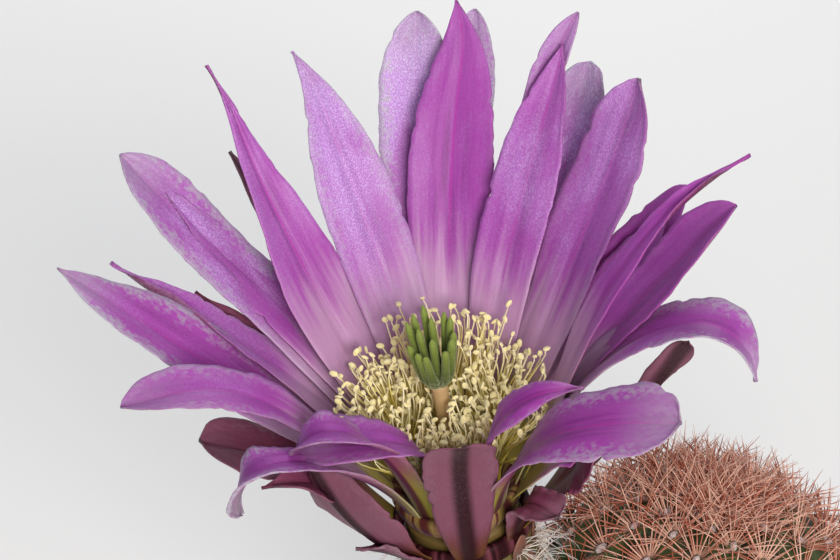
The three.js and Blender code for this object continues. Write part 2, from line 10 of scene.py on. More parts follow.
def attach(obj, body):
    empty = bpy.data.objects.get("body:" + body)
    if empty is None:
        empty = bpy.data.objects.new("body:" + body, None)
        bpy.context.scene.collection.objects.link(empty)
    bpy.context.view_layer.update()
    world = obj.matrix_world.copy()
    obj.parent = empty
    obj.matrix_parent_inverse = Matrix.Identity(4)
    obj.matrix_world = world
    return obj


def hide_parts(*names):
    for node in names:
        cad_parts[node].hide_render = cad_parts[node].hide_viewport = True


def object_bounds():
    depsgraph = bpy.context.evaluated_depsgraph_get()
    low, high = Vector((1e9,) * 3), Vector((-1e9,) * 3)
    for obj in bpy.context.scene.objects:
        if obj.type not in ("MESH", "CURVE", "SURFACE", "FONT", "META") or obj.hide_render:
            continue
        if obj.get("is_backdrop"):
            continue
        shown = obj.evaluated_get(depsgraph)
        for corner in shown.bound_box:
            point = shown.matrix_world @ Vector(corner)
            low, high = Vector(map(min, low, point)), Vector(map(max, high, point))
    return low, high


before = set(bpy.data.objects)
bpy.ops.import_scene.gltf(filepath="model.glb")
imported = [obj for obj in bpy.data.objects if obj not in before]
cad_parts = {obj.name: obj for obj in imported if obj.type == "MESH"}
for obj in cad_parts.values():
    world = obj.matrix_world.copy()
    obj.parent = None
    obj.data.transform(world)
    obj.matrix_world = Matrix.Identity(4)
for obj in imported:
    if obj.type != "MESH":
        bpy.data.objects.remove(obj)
CAD_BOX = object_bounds()
bpy.ops.object.select_all(action="DESELECT")

MM = 0.001  # every length below is in millimetres, and becomes metres where a mesh takes its points
Z = np.array([0.0, 0.0, 1.0])
GOLDEN = math.pi * (3 - math.sqrt(5))  # turn from one organ to the next on a growing axis

# ---------------------------------------------------------------- driving sizes

STEM_HEIGHT = 60.5
FOOT_RADIUS = 16.5
STEM_RADIUS = 21.0
SWELL_HEIGHT = 25.0  # where the stem reaches its full radius
DOME_HEIGHT = 15.0
DOME_START = STEM_HEIGHT - DOME_HEIGHT
DIMPLE = 1.2  # depth of the hollow at the growing tip
DIMPLE_RADIUS = 2.5
RIBS = 16
RIB_DEPTH = 2.4
RIB_FADE = (0.5, 12.0)  # the furrows run out between these depths below the growing tip
BEND_START = 20.0  # height from which the stem leans towards +X
BEND_RADIUS = 188.0
SKIN_WANDER = 0.5  # unevenness of the rind, either way
SKIN_LUMPS = 3.1  # lumps of it to the stem's radius

AREOLE_SPACING = 4.9  # along a rib
AREOLE_FIRST = 4.4
AREOLE_LIFT = 0.3  # how far an areole stands proud of its rib
AREOLE_BULGE = 0.35  # how far a rib swells under it
AREOLE_WOOL = (0.5, 0.8, 0.55)  # half a cushion's width, length and depth
CROWN_RADIUS = 5.2  # where the ribs' areoles end
CROWN_RINGS = ((4.0, 9), (2.4, 5))  # radius and number of the young areoles within
CROWN_TUFTS = 46
CROWN_TUFTS_RADIUS = 4.4

SPINE = 5.9
CROWN_SPINE = 6.6
SPINE_RADIUS = 0.13
RADIAL_SPINES = 29  # in an areole
SPINE_RISE = 12  # degrees that a spine stands off the skin on the flanks
CROWN_RISE = 26  # how many more it does at the crown
CENTRAL_RISE = 14  # how many more one in CENTRAL_EVERY does
CENTRAL_EVERY = 6
GROUND_GAP = 0.4  # between the ground and the lowest tip

BLOOM = np.array([-30.0, -9.25, 65.8])  # middle of the mouth of the flower's tube
BLOOM_LEAN = math.radians(13.2)
BLOOM_BEARING = math.radians(232)
BLOOM_ROOM = 10.5  # radius at the mouth that the spines leave free
BLOOM_ROOM_FLARE = 1.2  # how much wider that gets with each millimetre above
TUBE_ROOM = 9.0  # distance from the tube's middle line that they leave free

MOUTH_RADIUS = 7.1
SHOULDER_RADIUS = 8.6
SHOULDER_DROP = 4.0
SHOULDER_SHARE = 0.86  # of the tube's rings lie below its shoulder
TUBE_ROOT_RADIUS = 7.0
TUBE_ROOT = np.array([-9.0, -2.5, 35.0])
TUBE_STRAIGHT = 16.0
TUBE_FLUTES = 11
TUBE_FLUTE_DEPTH = 0.25
TUBE_SCALES = 40
TUBE_SCALE = (1.5, 1.1, 2.2)  # half a scale's width, its lift off the tube and half its length
TUBE_SCALE_SPAN = (0.42, 0.56)  # where the scales start along the tube, and how far they run on
SCALE_BRISTLES = 9
SCALE_HAIRS = 14
BRISTLE = (3, 5)  # shortest and longest
BRISTLE_RADIUS = 0.11
HAIR = (3.5, 7)
HAIR_RADIUS = 0.055
BARE_RIM = 1.0  # height below the mouth that no bristle reaches

TEPAL_THICKNESS = 0.5
TEPAL_EDGE = 0.3  # the margins' share of that thickness
TEPAL_GRID = (14, 104)  # faces across and along
CLAW_WIDTH = 0.36  # width of a tepal's foot as a share of its greatest
TIP_WIDTH = 0.12  # half of it, so that the two margins never meet
SCALLOP = 0.9  # spacing of the scallops in a frayed margin
SCALLOP_DEPTH = 0.05  # the deepest, as a share of half the tepal's width
TEARS = 2  # on each side
TEAR_DEPTH = (0.05, 0.14)  # shallowest and deepest, as such a share
MIDRIB_DEPTH = 0.32
MIDRIB_WIDTH = 0.7
PLEAT_DEPTH = 0.06
RIPPLE = 0.1
INNER_ROOT = (5.9, 1.0)  # out from the bloom's axis, and above the mouth
OUTER_ROOT = (8.05, -2.2)
LAYER_STEP = 0.45  # out from one layer's root to the next
LAYER_LEAN = 2  # degrees that each layer leaves its ring flatter than the one inside it
INNER_COLLAR = dict(inside=5.3, outside=7.3, low=0.3, high=4.2, flare=1.4)
OUTER_COLLAR = dict(inside=7.4, outside=8.8, low=-3.7, high=-0.6, flare=0.0)
CLAW_SPACING = 3.4  # between the feet of neighbouring tepals, round the collar

FUNNEL_FOOT_RADIUS = 4.9
FUNNEL_FOOT = 0.3
FUNNEL_RADIUS = 6.0
FUNNEL_HEIGHT = 8.0
FUNNEL_RIDGES = 32
FUNNEL_RIDGE_DEPTH = 0.12
STAMENS = 620
FILAMENT_RADIUS = 0.12
ANTHER = (0.28, 0.25, 0.52)  # half its width, thickness and length
ANTHER_INNERMOST = 1.8  # distance of the innermost anthers from the bloom's axis
ANTHER_REACH = 5.6  # how much farther out the outermost stand at the front
ANTHER_BACK_REACH = 6.1  # and how much farther still at the back
ANTHER_HEIGHT = 16.6
ANTHER_RISE = 0.8  # how much higher the outermost stand
ANTHER_BACK_RISE = 3.4  # and how much more or less at the back and the front
FRONT = -0.3  # sine of the azimuth below which stamens count as the front's, where one in three is left out

STYLE_RADIUS = 0.94
STYLE_FOOT = -2.7
STYLE_TOP = 20.3
STIGMA_RADIUS = 2.2
STIGMA_TOP = 27.9
STIGMA_TILT = 1.6  # how much higher the back lobes end than the middle ones
STIGMA_LOBES = 14
STIGMA_LOBE_RADIUS = 0.5

# Outlines of a tepal: where it is widest, along its length, and how it closes to its tip
TIPS = {
    "pointed": (0.6, 1.7, 1.1),
    "tapered": (0.45, 1.4, 1.4),
    "rounded": (0.74, 3, 0.7),
    "square": (0.8, 4, 0.5),
    "hooded": (0.6, 2.4, 1.0),
}
HOOK_START = 0.86  # share of a tepal's length from which its tip may hook sideways

# Each tepal starts at azimuth "start" round the bloom's axis and ends at azimuth "at", "reach" out from the
# axis and "rise" above the mouth. It leaves its ring at "leave" degrees to the axis and arrives at "arrive"
# degrees to it; "root_pull" and "tip_pull" are how far it keeps to either way. "layer" counts from the
# innermost. "fold" is how many degrees each half turns up from the midrib. "twist" turns the blade about its
# midrib by its tip; "late" and "sway" above 1 bring the twist and the swing nearer the tip. "hook" pulls the
# tip sideways and "wave" is how far the margins wave, in millimetres. "pale" is how much of the margin is
# bleached, and the last key how strongly painted sheen and painted glints show on the blade, from 0 to 1.
USUAL_TEPAL = dict(root_pull=22.5, tip_pull=18, fold=20, twist=0, late=1.2, sway=1.5, hook=0, wave=0.5,
                   pale=0.1, painted_sheen_strength=0.1)
INNER_TEPALS = [
    dict(at=78.5, start=86.5, reach=40, rise=47.5, leave=24, arrive=38, width=11, tip="hooded", layer=0,
         hook=1.8, pale=0.1, painted_sheen_strength=0.15),
    dict(at=88.5, start=95, reach=41, rise=46, leave=24, arrive=34, width=10, tip="rounded", layer=2,
         pale=0.9, painted_sheen_strength=0.9),
    dict(at=79, start=84, reach=43, rise=44.5, leave=24, arrive=38, width=7.5, tip="rounded", layer=1,
         pale=0.8, painted_sheen_strength=1),
    dict(at=111.5, start=108.5, reach=36, rise=47.5, leave=24, arrive=32, width=10, tip="pointed", layer=0,
         hook=1, pale=0.5, painted_sheen_strength=0.8),
    dict(at=128.8, start=136, reach=36, rise=50.5, leave=27, arrive=32, width=10, tip="tapered", layer=1,
         fold=30, sway=3, hook=1.8, painted_sheen_strength=0.3),
    dict(at=145.6, start=145, reach=44, rise=41, leave=26, arrive=42, width=9, tip="rounded", layer=2,
         pale=0.8, painted_sheen_strength=0.6),
    dict(at=144, start=142, reach=40, rise=37, leave=28, arrive=42, width=7.5, tip="pointed", layer=0,
         fold=15, painted_sheen_strength=0.3),
    dict(at=156, start=157, reach=43, rise=30.3, leave=32, arrive=58, width=6.5, tip="pointed", layer=1,
         fold=60, twist=35, hook=-1.5, pale=0.2, painted_sheen_strength=0.3),
    dict(at=168.4, start=168, reach=44.5, rise=36.8, leave=35, arrive=44, width=11, tip="hooded", layer=2,
         root_pull=16, pale=0.9, painted_sheen_strength=0.2),
    dict(at=190.6, start=188, reach=37.5, rise=26.3, leave=36, arrive=105, width=8.4, tip="rounded", layer=0,
         root_pull=18, hook=-1.2, pale=0.5, painted_sheen_strength=0.2),
    dict(at=207, start=222, reach=28, rise=13.7, leave=8, arrive=182, width=8.6, tip="rounded", layer=2,
         root_pull=15, tip_pull=17, pale=0.9, painted_sheen_strength=0.15),
    dict(at=202, start=238, reach=19.6, rise=16, leave=8, arrive=172, width=8.7, tip="hooded", layer=1,
         root_pull=20, tip_pull=14, twist=-50, pale=0.5, painted_sheen_strength=0.05),
    dict(at=203, start=276, reach=18.7, rise=19.1, leave=0, arrive=100, width=9.2, tip="square", layer=0,
         root_pull=15, tip_pull=11, fold=10, twist=-90, late=0.5, sway=1.2, wave=0, pale=0.4, painted_sheen_strength=0.1),
    dict(at=324, start=276, reach=22, rise=27.5, leave=5, arrive=90, width=6, tip="pointed", layer=0,
         root_pull=9, tip_pull=11, fold=0, twist=95, late=0.5, sway=0.7, pale=0.3, painted_sheen_strength=0),
    dict(at=325, start=306, reach=34.8, rise=27, leave=14, arrive=79, width=10.6, tip="square", layer=2,
         root_pull=16, fold=10, twist=45, late=0.6, sway=1, pale=0.7, painted_sheen_strength=0.03),
    dict(at=345, start=344, reach=24.5, rise=20, leave=40, arrive=40, width=12, tip="rounded", layer=0,
         pale=0.1, painted_sheen_strength=0.1),
    dict(at=344, start=360, reach=39.5, rise=24, leave=19, arrive=169, width=10, tip="hooded", layer=1,
         root_pull=24, tip_pull=15, twist=-38, sway=1, pale=0.9, painted_sheen_strength=0.15),
    dict(at=5.3, start=6, reach=37.5, rise=39, leave=28, arrive=45, width=10, tip="rounded", layer=0,
         pale=0.1, painted_sheen_strength=0.1),
    dict(at=14, start=1, reach=41, rise=41.5, leave=24, arrive=96, width=7, tip="tapered", layer=2,
         twist=10, sway=3, painted_sheen_strength=0.1),
    dict(at=26, start=26, reach=35.5, rise=33.5, leave=26, arrive=45, width=8.5, tip="rounded", layer=1,
         painted_sheen_strength=0.1),
    dict(at=23, start=22, reach=31.5, rise=32, leave=26, arrive=40, width=7, tip="rounded", layer=0,
         painted_sheen_strength=0.1),
    dict(at=40.5, start=37, reach=36.5, rise=44, leave=22, arrive=34, width=11.5, tip="rounded", layer=1,
         sway=2, pale=0.2, painted_sheen_strength=0.45),
    dict(at=57, start=56, reach=40, rise=40.5, leave=22, arrive=34, width=8, tip="square", layer=2,
         pale=0.9, painted_sheen_strength=0.9),
    dict(at=55.2, start=63.2, reach=34, rise=47, leave=22, arrive=30, width=9, tip="hooded", layer=0,
         hook=0.6, pale=0.1, painted_sheen_strength=0.45),
    dict(at=57, start=64, reach=37.3, rise=50, leave=22, arrive=34, width=5, tip="rounded", layer=2,
         hook=-1, pale=0.5, painted_sheen_strength=0.5),
]

OUTER_TEPALS = [
    dict(at=131.8, start=129, reach=35, rise=38.5, leave=24, arrive=40, width=4.8, tip="hooded", pale=0.6),
    dict(at=150, start=150, reach=34, rise=24.7, leave=34, arrive=50, width=6, tip="pointed"),
    dict(at=180, start=178, reach=30, rise=15, leave=38, arrive=60, width=10, tip="square", pale=0.3),
    dict(at=198, start=196, reach=23.5, rise=13, leave=38, arrive=75, width=8, tip="pointed",
         root_pull=12, tip_pull=11),
    dict(at=200, start=228, reach=17.5, rise=16, leave=55, arrive=10, width=14, tip="pointed",
         root_pull=6, tip_pull=8, twist=25, late=0.5, sway=1),
    dict(at=213, start=238, reach=15, rise=2.5, leave=60, arrive=75, width=6, tip="pointed",
         root_pull=4, tip_pull=5, pale=0.5),
    dict(at=281, start=276, reach=15.2, rise=22.2, leave=34, arrive=38, width=9.2, tip="square",
         root_pull=6, tip_pull=8, fold=-8, pale=0.1),
    dict(at=320, start=320, reach=16.4, rise=5.8, leave=22, arrive=106, width=6.4, tip="square",
         root_pull=6, tip_pull=7, pale=0.4),
    dict(at=341, start=346, reach=21, rise=19, leave=38, arrive=32, width=12, tip="rounded",
         twist=40, pale=0.1),
    dict(at=347, start=347, reach=31.2, rise=28.2, leave=43, arrive=34, width=4.4, tip="square",
         twist=-90, late=3),
    dict(at=35, start=35, reach=27, rise=20, leave=32, arrive=55, width=9, tip="pointed"),
    dict(at=78, start=78, reach=28, rise=17, leave=34, arrive=60, width=9, tip="rounded"),
    dict(at=105, start=105, reach=30, rise=26, leave=30, arrive=50, width=8, tip="pointed"),
]


# ---------------------------------------------------------------- camera, floor and light

CAMERA_PLACE = (-35.0, -345.6, 276.0)
CAMERA_PITCH = math.radians(62)  # up from straight down
CAMERA_LENS = 137.14  # focal length
SENSOR_WIDTH = 36
FLOOR_SIDE = 6000.0
SKY = ("#e8ecf2", 0.36)  # its colour and strength

# Each softbox's place, the point that it faces, its side, its power in watts and its colour
SOFTBOXES = {
    "key": ((115, -560, 290), (-25, 0, 80), 260, 3.9, "#fffaf4"),
    "top": ((-200, 100, 620), (-20, 0, 70), 360, 0.5, "#f4f4ff"),
    "backdrop": ((-30, 520, 420), (-30, 210, 0), 420, 1.5, "#ffffff"),
}


def place_camera():
    """A long lens that looks down on the flower."""
    data = bpy.data.cameras.new("camera")
    data.sensor_width = SENSOR_WIDTH
    data.lens = CAMERA_LENS
    data.clip_start = 10 * MM
    camera = bpy.data.objects.new("camera", data)
    camera.location = Vector(CAMERA_PLACE) * MM
    camera.rotation_euler = (CAMERA_PITCH, 0, 0)
    bpy.context.collection.objects.link(camera)
    bpy.context.scene.camera = camera


def softbox(name, place, aim, side, power, colour):
    """A square studio light at a place in millimetres, turned to a point."""
    bpy.ops.object.light_add(type="AREA", location=Vector(place) * MM)
    light = bpy.context.object
    light.name = name
    light.rotation_euler = (Vector(aim) - Vector(place)).to_track_quat("-Z", "Y").to_euler()
    light.data.size = side * MM
    light.data.energy = power
    light.data.color = linear(colour)[:3]


def make_studio():
    """The camera, a plain pale floor, the softboxes and an even pale sky."""
    place_camera()
    bpy.ops.mesh.primitive_plane_add(size=FLOOR_SIDE * MM)
    floor = bpy.context.object
    floor.name = "floor"
    floor.data.materials.append(plain_floor())
    floor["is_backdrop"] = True
    for name, light in SOFTBOXES.items():
        softbox(name, *light)
    colour, strength = SKY
    world = bpy.data.worlds.new("studio")
    world.use_nodes = True
    sky = world.node_tree.nodes["Background"]
    sky.inputs["Color"].default_value = linear(colour)
    sky.inputs["Strength"].default_value = strength
    bpy.context.scene.world = world
    bpy.context.scene.view_settings.view_transform = "Standard"


# ---------------------------------------------------------------- materials

def linear(colour):
    """An sRGB hex colour as linear RGBA."""
    shares = [int(colour[i:i + 2], 16) / 255 for i in (1, 3, 5)]
    return (*(share / 12.92 if share <= 0.04045 else ((share + 0.055) / 1.055) ** 2.4 for share in shares), 1)


def node(tree, kind, sockets=None, output=0, **settings):
    """Adds a node with its settings and links, and gives its output.

    Each socket takes a value or another node's output.
    """
    made = tree.nodes.new("ShaderNode" + kind)
    for name, value in settings.items():
        setattr(made, name, value)
    for key, value in (sockets or {}).items():
        socket = made.inputs[key] if isinstance(key, int) else next(
            each for each in made.inputs if each.name == key and each.enabled)
        if isinstance(value, bpy.types.NodeSocket):
            tree.links.new(value, socket)
        else:
            socket.default_value = value
    live = [each for each in made.outputs if each.enabled]
    return next((each for each in live if each.name == output), live[0]) if live else made


def new_material(name):
    """An empty material and its node tree."""
    material = bpy.data.materials.new(name)
    material.use_nodes = True
    material.node_tree.nodes.clear()
    return material, material.node_tree


def plain_floor():
    """Matt paper backdrop, unprinted: it gives the eye nothing but a soft shadow."""
    material, tree = new_material("matt_paper")
    paper = node(tree, "BsdfPrincipled", {
        "Base Color": linear("#f3f2f0"), "Roughness": 0.9, "Specular IOR Level": 0.2})
    node(tree, "OutputMaterial", {"Surface": paper})
    return material


def petal_skin(name, hues):
    """Skin of a flower leaf: one layer of domed, sap-filled cells, so it is silky and glints in fine grains.
    Its colour also carries painted glints in those grains and painted sheen in broad patches.

    The inner face runs from a cream green claw through a bleached throat to the blade. The outer face is
    duller, with a dark stripe over its midrib. Margins dry first and turn papery and white.
    """
    material, tree = new_material(name)
    along, aside, pale, painted_sheen_strength, under = (
        node(tree, "Attribute", output="Fac", attribute_name=mark_name)
        for mark_name in ("along", "aside", "pale", "painted_sheen_strength", "under"))
    lie = node(tree, "Attribute", output="Vector", attribute_name="lie")  # millimetres across and along

    # Sizes in millimetres across and along. Domed cells are 0.05 mm wide, and drawn 0.15 mm wide so that they
    # show; veins run 0.9 mm apart; dry specks are half a millimetre wide; patches of painted sheen are 4.5 mm
    # wide.
    patterns = {}
    for pattern, size, detail in (("cells", (0.15, 0.26, 1), 2), ("veins", (0.9, 14, 1), 3),
                                  ("mottle", (0.5, 0.8, 1), 4), ("zones", (4.5, 13, 1), 2)):
        place = node(tree, "VectorMath", {0: lie, 1: size}, operation="DIVIDE")
        patterns[pattern] = node(tree, "TexNoise", {"Vector": place, "Scale": 1.0, "Detail": detail})
    cells, veins, mottle, zones = patterns.values()
    off_rib = node(tree, "Math", {0: node(tree, "SeparateXYZ", {0: lie})}, operation="ABSOLUTE")
    drawn_out = node(tree, "MapRange", {"Value": veins, "From Min": 0.3, "From Max": 0.7, "To Min": -0.06,
                                        "To Max": 0.06})
    streaked = node(tree, "Math", {0: along, 1: drawn_out}, operation="ADD")

    # Shares of each colour, as smooth steps: value, from, to, and the share reached at each end
    shares = {"pale": pale, "painted_sheen_strength": painted_sheen_strength, "veil": 0.6}
    for share, value, low, high, start, end in (
            ("throat", streaked, *hues["throat_span"], 0.0, 1.0),
            ("blade", streaked, *hues["blade_span"], 0.0, 1.0),
            ("middle", aside, 0.7, 0.05, 0.0, 1.0),
            ("mid_length", along, 0.36, 0.56, 0.0, 1.0),
            ("deep_veins", veins, 0.44, 0.66, 0.15, 0.75),
            ("rib_line", off_rib, 0.32, 0.06, 0.0, 0.8),
            ("stripe", off_rib, *hues["stripe"], 0.0, 0.92),
            ("claw_side", aside, 0.2, 0.7, 0.0, 0.85),
            ("claw_length", along, 0.36, 0.1, 0.0, 1.0),
            # painted glints: the domed-cell noise picks the grains that are painted pale as highlights
            ("painted_glint_grains", cells, 0.4, 0.7, 0.0, 0.5),
            # painted sheen: broad noise patches where a lavender sheen is painted into the colour
            ("satin", zones, 0.4, 0.62, 0.4, 1.0),
            ("outer_length", along, 0.3, 0.7, 0.15, 1.0),
            ("frayed", mottle, 0.3, 0.7, -0.2, 0.2),
            ("tipward", along, 0.3, 0.8, 0.3, 1.0),
            ("tip", along, 0.8, 0.98, 0.0, 0.75),
            ("speckled", mottle, 0.3, 0.65, 0.65, 1.0)):
        shares[share] = node(tree, "MapRange", {
            "Value": value, "From Min": low, "From Max": high, "To Min": start, "To Max": end,
        }, interpolation_type="SMOOTHSTEP")
    products = {}
    for product, first, *others in (
            ("deep", "middle", "deep_veins", "mid_length"),
            ("rib", "rib_line", "mid_length"),
            ("claw", "claw_side", "claw_length"),
            # painted glints, and below them painted sheen: both grow towards the tip and scale with each
            # tepal's mark
            ("painted_glints", "painted_glint_grains", "satin", "outer_length", "painted_sheen_strength"),
            ("painted_sheen", "satin", "outer_length", "painted_sheen_strength", "veil")):
        products[product] = shares[first]
        for other in others:
            products[product] = node(tree, "Math", {0: products[product], 1: shares[other]},
                                     operation="MULTIPLY")
    margin = node(tree, "Math", {0: aside, 1: shares["frayed"]}, operation="ADD")
    bleach = node(tree, "MapRange", {"Value": margin, "From Min": 0.5, "From Max": 1.0},
                  interpolation_type="SMOOTHSTEP")
    for operation, share in (("MULTIPLY", "tipward"), ("MAXIMUM", "tip"), ("MULTIPLY", "speckled"),
                             ("MULTIPLY", "pale")):
        bleach = node(tree, "Math", {0: bleach, 1: shares[share]}, operation=operation)

    claw, throat, blade, dark, rib = hues["inner"]
    inner = linear(claw)
    # The last coat is painted sheen, a lavender highlight laid over the blade
    for share, hue in ((shares["throat"], throat), (shares["blade"], blade), (products["deep"], dark),
                       (products["rib"], rib), (products["painted_sheen"], hues["painted_sheen"])):
        inner = node(tree, "Mix", {"Factor": share, "A": inner, "B": linear(hue)}, data_type="RGBA")
    claw, throat, blade, stripe = hues["outer"]
    outer = linear(claw)
    for share, hue in ((shares["throat"], throat), (shares["blade"], blade), (products["claw"], claw),
                       (shares["stripe"], stripe)):
        outer = node(tree, "Mix", {"Factor": share, "A": outer, "B": linear(hue)}, data_type="RGBA")
    colour = node(tree, "Mix", {"Factor": under, "A": inner, "B": outer}, data_type="RGBA")
    # painted glints: grains of pale highlight laid over the colour, after the bleached margins
    for share, hue in ((bleach, hues["bleached"]), (products["painted_glints"], hues["painted_glint_hue"])):
        colour = node(tree, "Mix", {"Factor": share, "A": colour, "B": linear(hue)}, data_type="RGBA")

    relief = node(tree, "Bump", {"Strength": 0.45, "Distance": 0.00006, "Height": cells})
    relief = node(tree, "Bump", {"Strength": 0.35, "Distance": 0.0003, "Height": veins, "Normal": relief})
    skin = node(tree, "BsdfPrincipled", {
        "Base Color": colour, "Normal": relief, "Roughness": 0.42, "Specular IOR Level": hues["gloss"],
        "Sheen Weight": hues["sheen"], "Sheen Roughness": 0.4, "Sheen Tint": linear(hues["painted_sheen"]),
        "Subsurface Weight": hues["glow"], "Subsurface Radius": (0.0016, 0.0008, 0.0014),
        "Subsurface Scale": 1.0})
    node(tree, "OutputMaterial", {"Surface": skin})
    return material


def spine_horn(name, foot, middle, point, light, dark):
    """Dead, dry spine tissue: horny and slightly glossy, pale at its foot and darker to its point."""
    material, tree = new_material(name)
    along = node(tree, "Attribute", output="Fac", attribute_name="along")
    tone = node(tree, "Attribute", output="Fac", attribute_name="tone")
    colour = linear(foot)
    for value, low, high, end, hue in ((along, 0.02, 0.4, 1, middle), (along, 0.6, 1.0, 0.75, point),
                                       (tone, 0.5, 1.0, 0.75, light), (tone, 0.35, 0.0, 0.6, dark)):
        share = node(tree, "MapRange", {"Value": value, "From Min": low, "From Max": high, "To Max": end},
                     interpolation_type="SMOOTHSTEP")
        colour = node(tree, "Mix", {"Factor": share, "A": colour, "B": linear(hue)}, data_type="RGBA")
    horn = node(tree, "BsdfPrincipled", {
        "Base Color": colour, "Roughness": 0.42, "Specular IOR Level": 0.5, "Subsurface Weight": 0.1,
        "Subsurface Radius": (0.0006, 0.0003, 0.0002), "Subsurface Scale": 1.0})
    node(tree, "OutputMaterial", {"Surface": horn})
    return material


def stem_rind():
    """Waxy green rind of the stem: small wet glints, painted shade between the ribs and worn pale in places.

    Its pits lie 0.45 mm apart, and the worn blotches are 4.5 mm wide.
    """
    material, tree = new_material("stem_rind")
    place = node(tree, "TexCoord", output="Object")
    crest = node(tree, "Attribute", output="Fac", attribute_name="crest")
    pits = node(tree, "TexVoronoi", {"Vector": place, "Scale": 1 / (0.45 * MM)})
    blotch = node(tree, "TexNoise", {"Vector": place, "Scale": 1 / (4.5 * MM), "Detail": 5})
    worn = node(tree, "MapRange", {"Value": blotch, "From Min": 0.42, "From Max": 0.72, "To Max": 0.6})
    colour = linear("#1c2612")
    # painted shade: lighter green on the rib crests, so the furrows between them stay dark; then pale worn
    # blotches
    for share, hue in ((crest, "#42562a"), (worn, "#64744a")):
        colour = node(tree, "Mix", {"Factor": share, "A": colour, "B": linear(hue)}, data_type="RGBA")
    relief = node(tree, "Bump", {"Strength": 0.4, "Distance": 0.0002, "Height": pits})
    rind = node(tree, "BsdfPrincipled", {
        "Base Color": colour, "Normal": relief, "Roughness": 0.38, "Specular IOR Level": 0.5})
    node(tree, "OutputMaterial", {"Surface": rind})
    return material


def felt(name, light, dark, grain):
    """Felted plant wool or pollen: short tangled fibres or grains of a size in millimetres, with no shine."""
    material, tree = new_material(name)
    place = node(tree, "TexCoord", output="Object")
    tangle = node(tree, "TexNoise", {
        "Vector": place, "Scale": 1 / (grain * MM), "Detail": 6, "Roughness": 0.75})
    lit = node(tree, "MapRange", {"Value": tangle, "From Min": 0.35, "From Max": 0.65})
    colour = node(tree, "Mix", {"Factor": lit, "A": linear(dark), "B": linear(light)}, data_type="RGBA")
    relief = node(tree, "Bump", {"Strength": 0.9, "Distance": 0.0002, "Height": tangle})
    wool = node(tree, "BsdfPrincipled", {
        "Base Color": colour, "Normal": relief, "Roughness": 0.95, "Specular IOR Level": 0.1,
        "Sheen Weight": 0.5, "Sheen Roughness": 0.5})
    node(tree, "OutputMaterial", {"Surface": wool})
    return material


def soft_tissue(name, foot, middle, top, roughness=0.45):
    """Watery living tissue coloured along its length, which lets some light through."""
    material, tree = new_material(name)
    along = node(tree, "Attribute", output="Fac", attribute_name="along")
    tone = node(tree, "Attribute", output="Fac", attribute_name="tone")
    colour = linear(foot)
    for value, low, high, end, hue in ((along, 0.0, 0.45, 1, middle), (along, 0.45, 1.0, 1, top),
                                       (tone, 0.2, 1.0, 0.35, "#fff6e0")):
        share = node(tree, "MapRange", {"Value": value, "From Min": low, "From Max": high, "To Max": end},
                     interpolation_type="SMOOTHSTEP")
        colour = node(tree, "Mix", {"Factor": share, "A": colour, "B": linear(hue)}, data_type="RGBA")
    tissue = node(tree, "BsdfPrincipled", {
        "Base Color": colour, "Roughness": roughness, "Specular IOR Level": 0.4, "Subsurface Weight": 0.3,
        "Subsurface Radius": (0.001, 0.0008, 0.0004), "Subsurface Scale": 1.0})
    node(tree, "OutputMaterial", {"Surface": tissue})
    return material


def stigma_velvet():
    """Stigma lobes: green tissue under a nap of short pale papillae that wears off on top.

    The papillae stand 0.12 mm apart, and are drawn 0.24 mm apart so that they show.
    """
    material, tree = new_material("stigma_velvet")
    along = node(tree, "Attribute", output="Fac", attribute_name="along")
    place = node(tree, "TexCoord", output="Object")
    nap = node(tree, "TexNoise", {"Vector": place, "Scale": 1 / (0.24 * MM), "Detail": 3, "Roughness": 0.7})
    low = node(tree, "MapRange", {"Value": along, "From Min": 0.5, "From Max": 0.15, "To Min": 0.12,
                                  "To Max": 0.75}, interpolation_type="SMOOTHSTEP")
    tufts = node(tree, "MapRange", {"Value": nap, "From Min": 0.45, "From Max": 0.68})
    fuzz = node(tree, "Math", {0: tufts, 1: low}, operation="MULTIPLY")
    lighter = node(tree, "MapRange", {"Value": along, "From Min": 0.35, "From Max": 1.0, "To Max": 0.8})
    colour = linear("#3e4c16")
    for share, hue in ((lighter, "#7e8e34"), (fuzz, "#c6cba4")):
        colour = node(tree, "Mix", {"Factor": share, "A": colour, "B": linear(hue)}, data_type="RGBA")
    relief = node(tree, "Bump", {"Strength": 0.8, "Distance": 0.0001, "Height": nap})
    velvet = node(tree, "BsdfPrincipled", {
        "Base Color": colour, "Normal": relief, "Roughness": 0.6, "Specular IOR Level": 0.35,
        "Sheen Weight": 0.5, "Sheen Roughness": 0.4, "Sheen Tint": linear("#d5dcae"),
        "Subsurface Weight": 0.15, "Subsurface Radius": (0.0006, 0.0008, 0.0003), "Subsurface Scale": 1.0})
    node(tree, "OutputMaterial", {"Surface": velvet})
    return material


def tube_rind():
    """Green-brown rind of the flower's tube, duller than a petal, with brown streaks 3.8 mm wide."""
    material, tree = new_material("tube_rind")
    place = node(tree, "TexCoord", output="Object")
    along = node(tree, "Attribute", output="Fac", attribute_name="along")
    streak = node(tree, "TexNoise", {"Vector": place, "Scale": 1 / (3.8 * MM), "Detail": 5})
    brown = node(tree, "MapRange", {"Value": streak, "From Min": 0.42, "From Max": 0.7, "To Max": 0.7})
    top = node(tree, "MapRange", {"Value": along, "From Min": 0.78, "From Max": 0.92, "To Max": 0.8})
    colour = linear("#39431f")
    for share, hue in ((along, "#5c5a30"), (brown, "#6b4232"), (top, "#6c5428")):
        colour = node(tree, "Mix", {"Factor": share, "A": colour, "B": linear(hue)}, data_type="RGBA")
    relief = node(tree, "Bump", {"Strength": 0.5, "Distance": 0.0004, "Height": streak})
    rind = node(tree, "BsdfPrincipled", {
        "Base Color": colour, "Normal": relief, "Roughness": 0.6, "Specular IOR Level": 0.4})
    node(tree, "OutputMaterial", {"Surface": rind})
    return material


